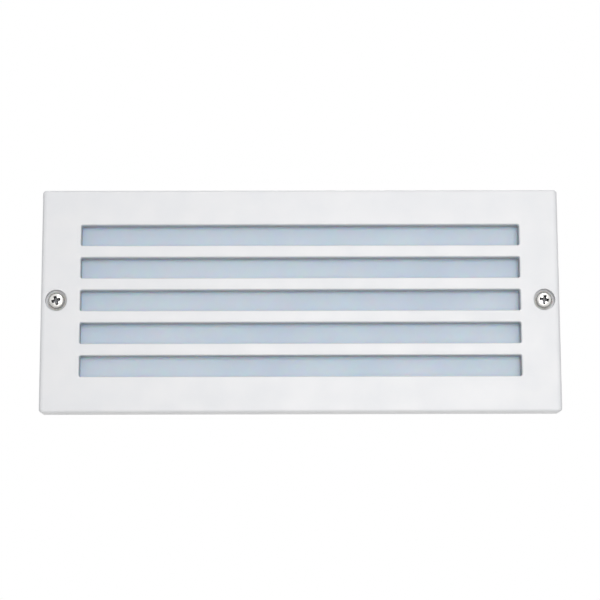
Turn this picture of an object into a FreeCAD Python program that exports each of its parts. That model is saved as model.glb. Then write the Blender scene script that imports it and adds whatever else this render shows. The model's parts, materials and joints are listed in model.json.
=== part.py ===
import FreeCAD, Part
import math
import os
import Sketcher

# Recessed step light for a wall: a louvred faceplate and its glass over a box with a screw-in lamp.
# X runs to the right, Y into the wall and Z up.  Y = 0 is the wall surface.

doc = FreeCAD.newDocument("StepLight")

# Name, millimetres (or a count or an angle), and what the size is.
SIZES = (
    ("plate_width", 254, "faceplate, left to right"),
    ("plate_height", 110, "faceplate, bottom to top"),
    ("plate_projection", 12, "wall surface to the faceplate's front"),
    ("plate_corner", 1.6, "corner radius seen from the front"),
    ("plate_edge", 1.2, "rounding of the front edge"),
    ("plate_skin", 3, "thickness of the front wall"),
    ("plate_rim", 3, "thickness of the side walls"),
    ("rim_corner", 2, "corner radius inside the side walls"),
    ("slot_side_margin", 19.1, "faceplate's side to the slots"),
    ("slot_end_margin", 17.35, "faceplate's top to the first slot"),
    ("slot_height", 10.5, "louvre slot, bottom to top"),
    ("slot_count", 5, "louvre slots"),
    ("slot_corner", 1, "corner radius of a slot"),
    ("slot_edge", 0.5, "rounding of a slot's front edge"),
    ("louvre_depth", 7, "thickness of the louvre bars, front to back"),
    ("louvre_frame", 3, "thick frame round the field of slots"),
    ("fixing_margin", 7.5, "faceplate's side to a face screw"),
    ("counterbore_radius", 5.35, "recess for a face screw's head"),
    ("counterbore_depth", 3.4, "depth of that recess"),
    ("fixing_floor", 2, "metal under the recess"),
    ("fixing_boss_radius", 7, "boss behind the recess"),
    ("fixing_hole_radius", 2.25, "clearance hole of a face screw"),
    ("glass_side_lap", 2.75, "lens beyond the slots at the left and right"),
    ("glass_end_lap", 2.85, "lens beyond the slots at the top and bottom"),
    ("glass_thickness", 3, "lens"),
    ("glass_corner", 2, "corner radius of the lens"),
    ("glass_edge", 0.4, "ground edge of the lens"),
    ("lens_gasket_thickness", 1, "gasket between louvre and lens"),
    ("lens_gasket_inset", 0.8, "from the edge of the slots to the gasket"),
    ("clip_spacing", 130, "between clips, left to right"),
    ("clip_gap", 0.4, "edge of the lens to a clip's boss"),
    ("clip_boss_radius", 2.5, "boss under a clip"),
    ("clip_thickness", 0.8, "spring clip"),
    ("clip_width", 12, "spring clip"),
    ("clip_grip", 2.6, "clip over the lens"),
    ("clip_margin", 1.9, "clip beyond its screw"),
    ("clip_screw_radius", 1.2, "thread of a clip screw"),
    ("clip_screw_length", 6, "under the head"),
    ("clip_head_radius", 2.2, "head of a clip screw"),
    ("clip_head_height", 1.5, "head of a clip screw"),
    ("gasket_side_margin", 10, "faceplate's side to the body gasket"),
    ("gasket_end_margin", 4.5, "faceplate's top to the body gasket"),
    ("gasket_band", 3, "width of the band at the left and right"),
    ("gasket_lip", 4, "width of the band at the top and bottom"),
    ("gasket_thickness", 2, "body gasket when pressed"),
    ("gasket_corner", 3, "corner radius inside the band"),
    ("flange_gap", 0.75, "from the flange to the faceplate's side wall"),
    ("flange_thickness", 2, "flange on the wall surface"),
    ("flange_corner", 2, "corner radius of the flange"),
    ("box_side_margin", 11, "faceplate's side to the recessed box, at the wall surface"),
    ("box_end_margin", 6.5, "faceplate's top to the recessed box, at the wall surface"),
    ("box_depth", 80, "wall surface to the back of the box"),
    ("box_wall", 2.5, "wall of the box"),
    ("box_corner", 8, "corner radius of the box"),
    ("box_draft", 1.5, "casting draft in degrees"),
    ("box_back_edge", 2, "rounding of the back edge"),
    ("boss_radius", 4.5, "tapped boss for a face screw"),
    ("boss_depth", 12, "wall surface to the boss's end"),
    ("boss_bore_depth", 10, "wall surface to the end of the thread"),
    ("thread_gap", 0.05, "between a screw and its tapped hole"),
    ("entry_height", 32, "wall surface to the axis of the conduit entries"),
    ("entry_radius", 9.5, "tapped conduit entry"),
    ("entry_boss_radius", 14, "boss round an entry"),
    ("entry_stand", 1, "flat face of an entry beyond the box's side"),
    ("entry_length", 14, "length of an entry"),
    ("back_hole_radius", 2.5, "fixing hole in the back"),
    ("back_hole_side_margin", 21, "box's side to a fixing hole"),
    ("back_hole_end_margin", 13.5, "box's top to a fixing hole"),
    ("face_screw_radius", 2, "face screw's thread"),
    ("face_screw_length", 16, "under the head"),
    ("face_head_radius", 4, "head of a face screw"),
    ("face_head_height", 2.8, "head of a face screw"),
    ("face_head_edge", 1, "rounding of the head"),
    ("recess_span", 4.6, "cross recess, tip to tip"),
    ("recess_arm", 1.1, "width of an arm of the recess"),
    ("recess_depth", 1.9, "depth of the recess"),
    ("washer_radius", 4.6, "washer under a face screw"),
    ("washer_thickness", 0.5, "washer under a face screw"),
    ("washer_gap", 0.1, "between a screw and its washer"),
    ("small_screw_radius", 1.5, "thread of the inner screws"),
    ("small_screw_length", 6, "under the head"),
    ("small_head_radius", 2.8, "head of an inner screw"),
    ("small_head_height", 1.7, "head of an inner screw"),
    ("small_recess_span", 3, "cross recess of an inner screw"),
    ("small_recess_arm", 0.8, "arm of that recess"),
    ("small_recess_depth", 1, "depth of that recess"),
    ("small_hole_gap", 0.2, "between an inner screw and the hole it passes"),
    ("reflector_thickness", 0.8, "reflector sheet"),
    ("reflector_front", 20, "wall surface to the reflector's front edge"),
    ("reflector_gap", 3, "reflector's front edges to the wall of the box"),
    ("reflector_floor", 60, "reflector's flat back, bottom to top"),
    ("reflector_margin", 10, "box's left side to the reflector"),
    ("reflector_bracket_gap", 6, "reflector's right end to the bracket"),
    ("reflector_left_screw", 21, "reflector's left end to the left screw"),
    ("reflector_right_screw", 15, "reflector's right end to the right screw"),
    ("lamp_setback", 1.65, "lamp's axis behind the middle between lens and reflector"),
    ("lamp_entry", 28, "lampholder's mouth to the tip of the lamp's cap"),
    ("cap_radius", 13, "lamp cap"),
    ("cap_wall", 0.7, "lamp cap"),
    ("cap_start", 6, "tip to the cap's edge"),
    ("cap_end", 28, "tip to the cap's other edge"),
    ("tip_radius", 4.8, "centre contact of the lamp"),
    ("tip_height", 2, "centre contact of the lamp"),
    ("insulator_radius", 6, "insulator's small end"),
    ("insulator_slope", 3, "height of the insulator's cone"),
    ("neck_radius", 11.5, "inside the lamp's neck"),
    ("neck_outer", 15, "outside the lamp's neck"),
    ("neck_height", 34, "tip to the end of the neck"),
    ("shade_radius", 28, "lamp body's widest part"),
    ("shade_start", 60, "tip to the widest part"),
    ("shade_end", 64, "tip to the lamp body's edge"),
    ("shelf_radius", 20, "inside the shelf that holds the light source"),
    ("shelf_outer", 22, "outside that shelf"),
    ("globe_radius", 30, "lamp globe"),
    ("globe_centre", 78, "tip to the globe's centre"),
    ("globe_wall", 1.5, "lamp globe"),
    ("board_radius", 21.6, "light source board"),
    ("board_thickness", 1.6, "light source board"),
    ("chip_size", 2.8, "light source chip"),
    ("chip_height", 0.8, "light source chip"),
    ("chip_ring", 14, "centre to a chip"),
    ("chip_count", 8, "light source chips"),
    ("driver_width", 18, "driver board"),
    ("driver_start", 30, "tip to the driver board"),
    ("holder_radius", 19, "lampholder"),
    ("holder_foot_radius", 20, "lampholder's foot"),
    ("holder_length", 40, "lampholder"),
    ("holder_foot", 4, "thickness of the foot"),
    ("holder_bore", 14.3, "inside the lampholder"),
    ("holder_seat", 26, "mouth to the seat of the thread shell"),
    ("holder_well", 10, "radius of the contact well"),
    ("holder_floor", 31, "mouth to the floor of the well"),
    ("holder_edge", 1, "chamfer of the mouth"),
    ("shell_radius", 14.2, "outside of the thread shell"),
    ("shell_wall", 0.5, "thread shell"),
    ("shell_start", 2, "mouth to the thread shell"),
    ("contact_radius", 3.5, "head of the centre contact"),
    ("contact_stem", 2, "stem of the centre contact"),
    ("contact_foot", 5, "foot of the centre contact"),
    ("contact_sheet", 0.8, "thickness of the head and the foot"),
    ("pole_radius", 2.4, "terminal in the lampholder"),
    ("pole_length", 6, "terminal in the lampholder"),
    ("pole_across", 6, "lampholder's centre to a terminal, sideways"),
    ("pole_back", 9, "lampholder's centre to a terminal, backwards"),
    ("pole_gap", 0.1, "round a terminal"),
    ("pole_bottom", 32, "mouth to the inner end of a terminal"),
    ("pole_bore_depth", 4, "lead inside a terminal"),
    ("holder_screw_across", 14.5, "lampholder's centre to a screw"),
    ("bracket_sheet", 1.5, "bracket"),
    ("bracket_width", 38, "bracket, bottom to top"),
    ("bracket_margin", 21, "lampholder's axis to the bracket's front edge"),
    ("bracket_foot", 19, "length of the bracket's foot"),
    ("bracket_block_gap", 3, "bracket's foot to the terminal block"),
    ("bracket_screw_margin", 5, "end of the foot to the bracket's screws"),
    ("bracket_screw_row", 28, "between the bracket's screws"),
    ("bracket_bend", 1.5, "inner bend radius"),
    ("window_width", 20, "opening for the leads"),
    ("window_height", 10, "opening for the leads"),
    ("base_rise", 5, "bosses that carry the reflector, the bracket and the terminals"),
    ("base_boss_radius", 4, "those bosses"),
    ("block_margin", 10, "box's right side to the terminal block"),
    ("block_length", 18, "terminal block, left to right"),
    ("block_height", 30, "terminal block, bottom to top"),
    ("block_depth", 16, "terminal block, front to back"),
    ("block_axis", 6.5, "block's back to the axis of the terminals"),
    ("block_step", 10, "from one terminal to the next"),
    ("block_gap", 0.15, "round a terminal"),
    ("block_inset", 1, "terminal inside the block's end"),
    ("tube_radius", 2.6, "terminal tube"),
    ("tube_bore", 1.6, "bore of a terminal tube"),
    ("tube_web", 2, "middle wall of a terminal tube"),
    ("clamp_radius", 1.3, "clamp screw"),
    ("clamp_inset", 4, "end of the tube to a clamp screw"),
    ("clamp_length", 5, "clamp screw"),
    ("clamp_slot", 0.6, "slot of a clamp screw"),
    ("clamp_slot_depth", 1, "slot of a clamp screw"),
    ("clamp_lead_gap", 0.1, "clamp screw to its lead"),
    ("lead_radius", 1.4, "insulated lead"),
    ("lead_gap", 0.1, "round a lead in a terminal"),
    ("lead_bend_gap", 10, "bend of the lamp leads to the terminal block"),
    ("earth_gap", 4, "earth screw to the left end of the terminal block"),
    ("earth_rise", 17, "top of the terminal block to the earth screw"),
    ("earth_boss_radius", 5, "earth boss"),
    ("ring_sheet", 0.8, "ring terminal"),
    ("ring_radius", 4.5, "ring terminal"),
    ("ring_hole", 2.15, "hole of the ring terminal"),
    ("barrel_radius", 2.2, "barrel of the ring terminal"),
    ("barrel_start", 12, "earth screw to the barrel's open end"),
    ("barrel_length", 6, "barrel of the ring terminal"),
    ("barrel_bore_depth", 4, "lead inside the barrel"),
    ("tongue_width", 4, "between ring and barrel"),
    ("earth_washer_radius", 4.2, "toothed washer"),
    ("earth_washer_thickness", 0.8, "toothed washer"),
    ("earth_screw_radius", 2, "earth screw"),
    ("earth_screw_length", 9, "under the head"),
    ("plug_radius", 9.42, "thread of the blanking plug"),
    ("plug_length", 9, "thread of the blanking plug"),
    ("plug_head_radius", 12.5, "head of the blanking plug"),
    ("plug_head_height", 3.5, "head of the blanking plug"),
    ("plug_edge", 0.8, "rounding of the plug's head"),
    ("plug_slot_width", 2.4, "driver slot"),
    ("plug_slot_depth", 1.8, "driver slot"),
    ("plug_seal_thickness", 1.5, "washer under the plug"),
    ("plug_seal_gap", 0.3, "between the plug and its washer"),
)

sheet = doc.addObject("Spreadsheet::Sheet", "Dim")
for row, (name, size, note) in enumerate(SIZES, 1):
    sheet.set("A%d" % row, name)
    sheet.set("B%d" % row, str(size))
    sheet.set("C%d" % row, note)
    sheet.setAlias("B%d" % row, name)
doc.recompute()

# Places that follow from the sizes.  In front of the wall surface, depths are counted forwards.
SLOT_WIDTH = "(Dim.plate_width - 2 * Dim.slot_side_margin)"
FIELD_HEIGHT = "(Dim.plate_height - 2 * Dim.slot_end_margin)"
SLOT_STEP = "((%s - Dim.slot_height) / (Dim.slot_count - 1))" % FIELD_HEIGHT
FIXING_ACROSS = "(Dim.plate_width / 2 - Dim.fixing_margin)"
GLASS_WIDTH = "(%s + 2 * Dim.glass_side_lap)" % SLOT_WIDTH
GLASS_HEIGHT = "(%s + 2 * Dim.glass_end_lap)" % FIELD_HEIGHT
CLIP_UP = "(%s / 2 + Dim.clip_gap + Dim.clip_boss_radius)" % GLASS_HEIGHT
GASKET_WIDTH = "(Dim.plate_width - 2 * Dim.gasket_side_margin)"
GASKET_HEIGHT = "(Dim.plate_height - 2 * Dim.gasket_end_margin)"
BOX_WIDTH = "(Dim.plate_width - 2 * Dim.box_side_margin)"
BOX_HEIGHT = "(Dim.plate_height - 2 * Dim.box_end_margin)"
ENTRY_FACE = "(%s / 2 + Dim.entry_stand)" % BOX_WIDTH
LOUVRE_BACK = "(Dim.plate_projection - Dim.louvre_depth)"
SKIN_BACK = "(Dim.plate_projection - Dim.plate_skin)"
GLASS_FRONT = "(%s - Dim.lens_gasket_thickness)" % LOUVRE_BACK
GLASS_BACK = "(%s - Dim.glass_thickness)" % GLASS_FRONT
CLIP_BACK = "(%s - Dim.clip_thickness)" % GLASS_BACK
GASKET_FRONT = "(Dim.flange_thickness + Dim.gasket_thickness)"
COUNTERBORE_FLOOR = "(Dim.plate_projection - Dim.counterbore_depth)"
BOX_FLOOR = "(Dim.box_depth - Dim.box_wall)"
BASE_FRONT = "(%s - Dim.base_rise)" % BOX_FLOOR
REFLECTOR_FACE = "(%s - Dim.reflector_thickness)" % BASE_FRONT
BLOCK_LEFT = "(%s / 2 - Dim.block_margin - Dim.block_length)" % BOX_WIDTH
BLOCK_MIDDLE = "(%s + Dim.block_length / 2)" % BLOCK_LEFT
BRACKET_END = "(%s - Dim.bracket_block_gap)" % BLOCK_LEFT
HOLDER_FOOT = "(%s - Dim.bracket_foot)" % BRACKET_END
HOLDER_MOUTH = "(%s - Dim.holder_length)" % HOLDER_FOOT
BRACKET_OUTER = "(%s + Dim.bracket_sheet)" % HOLDER_FOOT
REFLECTOR_LEFT = "(Dim.reflector_margin - %s / 2)" % BOX_WIDTH
REFLECTOR_RIGHT = "(%s - Dim.reflector_bracket_gap)" % HOLDER_FOOT
LAMP_AXIS = "((%s - %s) / 2 + Dim.lamp_setback)" % (REFLECTOR_FACE, GLASS_BACK)
LAMP_FOOT = "(%s + Dim.lamp_entry)" % HOLDER_MOUTH
POLE_DEPTH = "(%s + Dim.pole_back)" % LAMP_AXIS
POLE_END = "(%s + Dim.pole_bottom + Dim.pole_length - Dim.pole_bore_depth)" % HOLDER_MOUTH
TUBE_DEPTH = "(%s - Dim.block_axis)" % BASE_FRONT
TUBE_LENGTH = "(Dim.block_length - 2 * Dim.block_inset)"
TUBE_BORE_DEPTH = "((%s - Dim.tube_web) / 2)" % TUBE_LENGTH
TUBE_LEFT = "(%s + Dim.block_inset)" % BLOCK_LEFT
LEAD_BEND = "(%s - Dim.lead_bend_gap)" % BLOCK_LEFT
LEAD_END = "(%s + %s)" % (TUBE_LEFT, TUBE_BORE_DEPTH)
EARTH_ACROSS = "(%s - Dim.earth_gap)" % BLOCK_LEFT
EARTH_UP = "(Dim.block_height / 2 + Dim.earth_rise)"
RING_BACK = "(%s + Dim.barrel_radius)" % TUBE_DEPTH
RING_FRONT = "(%s - Dim.ring_sheet)" % RING_BACK
BARREL_START = "(%s - Dim.barrel_start)" % EARTH_UP

# Which way a piece's own Z axis points once it is placed.
FORWARD = FreeCAD.Rotation(FreeCAD.Vector(1, 0, 0), 90)
BACKWARD = FreeCAD.Rotation(FreeCAD.Vector(1, 0, 0), -90)
RIGHTWARD = FreeCAD.Rotation(FreeCAD.Vector(0, 1, 0), 90)
LEFTWARD = FreeCAD.Rotation(FreeCAD.Vector(0, 1, 0), -90)

TINY = 1e-4
LAST_SPIN = {"left": 18, "right": -10}  # degrees: how each face screw came to rest
BEND_SHARE = 0.45  # of the shorter run, taken up by a lead's bend

parts = []


def measure(size):
    """The number that an expression over the sheet comes to."""
    return float(sheet.evalExpression(size))


def start(label):
    """An empty body for one sub-part."""
    body = doc.addObject("PartDesign::Body", "Body")
    body.Label = label
    parts.append(body)
    return body


def place(piece, across, deep, up, turn=None, spin=0):
    """Put a piece at a point, with its own Z axis turned and the piece spun about that axis."""
    turn = turn or FreeCAD.Rotation()
    spun = turn.multiply(FreeCAD.Rotation(FreeCAD.Vector(0, 0, 1), spin))
    piece.Placement = FreeCAD.Placement(FreeCAD.Vector(), spun)
    for axis, size in (("x", across), ("y", deep), ("z", up)):
        piece.setExpression("Placement.Base." + axis, size)


def sketch_on(body, plane, offset="0"):
    """A sketch on one of the body's own planes, moved along the plane's normal."""
    sketch = body.newObject("Sketcher::SketchObject", "Sketch")
    support = [item for item in body.Origin.OriginFeatures if item.Role == plane][0]
    sketch.AttachmentSupport = [(support, "")]
    sketch.MapMode = "FlatFace"
    sketch.setExpression("AttachmentOffset.Base.z", offset)
    return sketch


def pin(sketch, curve, end, across, up):
    """Hold one point of a curve at two distances from the sketch's origin."""
    for kind, size, axis in (("DistanceX", across, -2), ("DistanceY", up, -1)):
        value = measure(size)
        if abs(value) < TINY:
            sketch.addConstraint(Sketcher.Constraint("PointOnObject", curve, end, axis))
            continue
        index = sketch.addConstraint(Sketcher.Constraint(kind, -1, 1, curve, end, value))
        sketch.setExpression("Constraints[%d]" % index, size)


def outline(sketch, points, arcs=None):
    """A closed outline through points; arcs maps a side's number to its radius and centre."""
    arcs = arcs or {}
    spots = [FreeCAD.Vector(measure(across), measure(up), 0) for across, up in points]
    first = None
    for side, (here, there) in enumerate(zip(spots, spots[1:] + spots[:1])):
        if side in arcs:
            radius, centre = arcs[side]
            middle = FreeCAD.Vector(measure(centre[0]), measure(centre[1]), 0)
            bulge = (here + there) / 2 - middle
            top = middle + bulge.normalize() * measure(radius)
            curve = sketch.addGeometry(Part.Arc(here, top, there), False)
            index = sketch.addConstraint(Sketcher.Constraint("Radius", curve, measure(radius)))
            sketch.setExpression("Constraints[%d]" % index, radius)
            ends = (1, 2) if sketch.getPoint(curve, 1).distanceToPoint(here) < TINY else (2, 1)
        else:
            curve = sketch.addGeometry(Part.LineSegment(here, there), False)
            ends = (1, 2)
        if first is None:
            first = (curve, ends[0])
        else:
            sketch.addConstraint(Sketcher.Constraint("Coincident", last[0], last[1], curve, ends[0]))
        pin(sketch, curve, ends[0], *points[side])
        last = (curve, ends[1])
    sketch.addConstraint(Sketcher.Constraint("Coincident", last[0], last[1], first[0], first[1]))


def rectangle(sketch, wide, tall, across="0", up="0"):
    """An upright rectangle round a point."""
    left, right = "%s - %s / 2" % (across, wide), "%s + %s / 2" % (across, wide)
    low, high = "%s - %s / 2" % (up, tall), "%s + %s / 2" % (up, tall)
    outline(sketch, ((left, low), (right, low), (right, high), (left, high)))


def rounded(sketch, wide, tall, corner, across="0", up="0"):
    """An upright rectangle with round corners."""
    half_wide, half_tall, radius = measure(wide) / 2, measure(tall) / 2, measure(corner)
    middle = FreeCAD.Vector(measure(across), measure(up), 0)
    inner_wide, inner_tall = half_wide - radius, half_tall - radius
    quarters = ((1, 1), (-1, 1), (-1, -1), (1, -1))
    arcs = []
    lines = []
    for turn, (east, north) in enumerate(quarters):
        centre = middle + FreeCAD.Vector(east * inner_wide, north * inner_tall, 0)
        circle = Part.Circle(centre, FreeCAD.Vector(0, 0, 1), radius)
        begin = turn * math.pi / 2
        arcs.append(sketch.addGeometry(Part.ArcOfCircle(circle, begin, begin + math.pi / 2), False))
    for turn in range(4):
        here = sketch.getPoint(arcs[turn], 2)
        there = sketch.getPoint(arcs[(turn + 1) % 4], 1)
        lines.append(sketch.addGeometry(Part.LineSegment(here, there), False))
    for turn in range(4):
        after = (turn + 1) % 4
        sketch.addConstraint(Sketcher.Constraint("Tangent", arcs[turn], 2, lines[turn], 1))
        sketch.addConstraint(Sketcher.Constraint("Tangent", lines[turn], 2, arcs[after], 1))
        level = "Horizontal" if turn % 2 == 0 else "Vertical"
        sketch.addConstraint(Sketcher.Constraint(level, lines[turn]))
    index = sketch.addConstraint(Sketcher.Constraint("Radius", arcs[0], radius))
    sketch.setExpression("Constraints[%d]" % index, corner)
    for arc in arcs[1:]:
        sketch.addConstraint(Sketcher.Constraint("Equal", arcs[0], arc))
    sides = (
        (lines[0], "DistanceY", "%s + %s / 2" % (up, tall)),
        (lines[1], "DistanceX", "%s - %s / 2" % (across, wide)),
        (lines[2], "DistanceY", "%s - %s / 2" % (up, tall)),
        (lines[3], "DistanceX", "%s + %s / 2" % (across, wide)),
    )
    for line, kind, size in sides:
        index = sketch.addConstraint(Sketcher.Constraint(kind, -1, 1, line, 1, measure(size)))
        sketch.setExpression("Constraints[%d]" % index, size)


def circle(sketch, radius, across="0", up="0"):
    """A circle round a point."""
    middle = FreeCAD.Vector(measure(across), measure(up), 0)
    shape = Part.Circle(middle, FreeCAD.Vector(0, 0, 1), measure(radius))
    curve = sketch.addGeometry(shape, False)
    index = sketch.addConstraint(Sketcher.Constraint("Radius", curve, measure(radius)))
    sketch.setExpression("Constraints[%d]" % index, radius)
    pin(sketch, curve, 3, across, up)


def cross(sketch, span, arm, across="0", up="0"):
    """A cross with square arms round a point."""
    tip = "%s / 2" % span
    side = "%s / 2" % arm
    corners = ((tip, side, 1, 1), (side, side, 1, 1), (side, tip, 1, 1),
               (side, tip, -1, 1), (side, side, -1, 1), (tip, side, -1, 1),
               (tip, side, -1, -1), (side, side, -1, -1), (side, tip, -1, -1),
               (side, tip, 1, -1), (side, side, 1, -1), (tip, side, 1, -1))
    points = []
    for out_x, out_y, east, north in corners:
        points.append(("%s + %d * %s" % (across, east, out_x), "%s + %d * %s" % (up, north, out_y)))
    outline(sketch, points)


def pad(body, sketch, length, against=False, draft=None, middle=False):
    """Add a straight block over a sketch, along its normal or against it."""
    feature = body.newObject("PartDesign::Pad", "Pad")
    feature.Profile = sketch
    feature.setExpression("Length", length)
    feature.Reversed = against
    if middle:
        feature.SideType = "Symmetric"
    if draft:
        feature.setExpression("TaperAngle", draft)
    return finish(body, feature, 1)


def pocket(body, sketch, length, along=False, draft=None):
    """Cut a straight hollow under a sketch, against its normal or along it."""
    feature = body.newObject("PartDesign::Pocket", "Pocket")
    feature.Profile = sketch
    feature.setExpression("Length", length)
    feature.Reversed = along
    if draft:
        feature.setExpression("TaperAngle", draft)
    return finish(body, feature, -1)


def revolve(body, sketch):
    """Turn a sketch once round its own upright axis."""
    feature = body.newObject("PartDesign::Revolution", "Revolution")
    feature.Profile = sketch
    feature.ReferenceAxis = (sketch, ["V_Axis"])
    feature.Angle = 360
    return finish(body, feature, 1)


def finish(body, feature, growth):
    """Recompute a feature, and stop if it leaves the solid as it was."""
    solids = [item for item in body.Group if item.isDerivedFrom("PartDesign::Feature")]
    before = solids[-2].Shape.Volume if len(solids) > 1 else 0
    body.Tip = feature
    doc.recompute()
    if growth * (feature.Shape.Volume - before) < TINY:
        raise RuntimeError("%s: %s changes nothing" % (body.Label, feature.Name))
    return feature


def dress(body, kind, size, wanted):
    """Fillet or chamfer the edges whose bounding box passes a test."""
    base = body.Tip
    names = ["Edge%d" % (number + 1) for number, edge in enumerate(base.Shape.Edges)
             if wanted(edge.BoundBox)]
    if not names:
        raise RuntimeError(body.Label + ": no edge to dress")
    feature = body.newObject("PartDesign::" + kind, kind)
    feature.Base = (base, names)
    feature.setExpression("Radius" if kind == "Fillet" else "Size", size)
    body.Tip = feature
    doc.recompute()
    return feature


def repeat(body, feature, sketch, axis, extent, count):
    """Repeat a feature in a straight row."""
    pattern = body.newObject("PartDesign::LinearPattern", "LinearPattern")
    pattern.Originals = [feature]
    pattern.Direction = (sketch, [axis])
    pattern.setExpression("Length", extent)
    pattern.setExpression("Occurrences", count)
    body.Tip = pattern
    doc.recompute()
    return pattern


def mirror(body, feature, plane):
    """Repeat a feature on the other side of one of the body's own planes."""
    copy = body.newObject("PartDesign::Mirrored", "Mirrored")
    copy.Originals = [feature]
    copy.MirrorPlane = ([item for item in body.Origin.OriginFeatures if item.Role == plane][0], [""])
    body.Tip = copy
    doc.recompute()
    return copy


def flat(box, axis, level):
    """Whether a bounding box lies in the plane at a level along an axis."""
    low = getattr(box, axis + "Min")
    high = getattr(box, axis + "Max")
    return abs(low - level) < TINY and abs(high - level) < TINY


def reach(box):
    """How far a bounding box lies from the middle, sideways and upwards."""
    return max(box.XMax, -box.XMin), max(box.ZMax, -box.ZMin)


def screws(label, spots, radius, length, head_radius, head_height, recess, edge=None):
    """Cross-recessed screws side by side: heads above the own XY plane, threads below."""
    body = start(label)
    head = sketch_on(body, "XY_Plane")
    for across, up in spots:
        circle(head, head_radius, across, up)
    pad(body, head, head_height)
    if edge:
        top = measure(head_height)
        dress(body, "Fillet", edge, lambda box: flat(box, "Z", top))
    shank = sketch_on(body, "XY_Plane")
    for across, up in spots:
        circle(shank, radius, across, up)
    pad(body, shank, length, against=True)
    span, arm, depth = recess
    mark = sketch_on(body, "XY_Plane", head_height)
    for across, up in spots:
        cross(mark, span, arm, across, up)
    pocket(body, mark, depth)
    return body


def ring(label, outer, inner, thickness):
    """A flat ring on the own XY plane."""
    body = start(label)
    sketch = sketch_on(body, "XY_Plane")
    circle(sketch, outer)
    circle(sketch, inner)
    pad(body, sketch, thickness)
    return body


SMALL_RECESS = ("Dim.small_recess_span", "Dim.small_recess_arm", "Dim.small_recess_depth")
QUARTERS = [(east, north) for east in (-1, 1) for north in (-1, 1)]
CLIP_SPOTS = [("%d * Dim.clip_spacing / 2" % east, "%d * %s" % (north, CLIP_UP))
              for east, north in QUARTERS]
FIXING_SPOTS = [("%d * %s" % (east, FIXING_ACROSS), "0") for east in (-1, 1)]
REFLECTOR_SPOTS = [("%s + Dim.reflector_left_screw" % REFLECTOR_LEFT, "0"),
                   ("%s - Dim.reflector_right_screw" % REFLECTOR_RIGHT, "0")]
BRACKET_SPOTS = [("%s - Dim.bracket_screw_margin" % BRACKET_END,
                  "%d * Dim.bracket_screw_row / 2" % north) for north in (-1, 1)]
BLOCK_SPOTS = [(BLOCK_MIDDLE, "%d * Dim.block_step / 2" % north) for north in (-1, 1)]
BLOCK_ROWS = ["%d * Dim.block_step" % north for north in (-1, 0, 1)]
EARTH_SPOT = (EARTH_ACROSS, EARTH_UP)
BACK_SPOTS = [("%d * (%s / 2 - Dim.back_hole_side_margin)" % (east, BOX_WIDTH),
               "%d * (%s / 2 - Dim.back_hole_end_margin)" % (north, BOX_HEIGHT))
              for east, north in QUARTERS]


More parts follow.
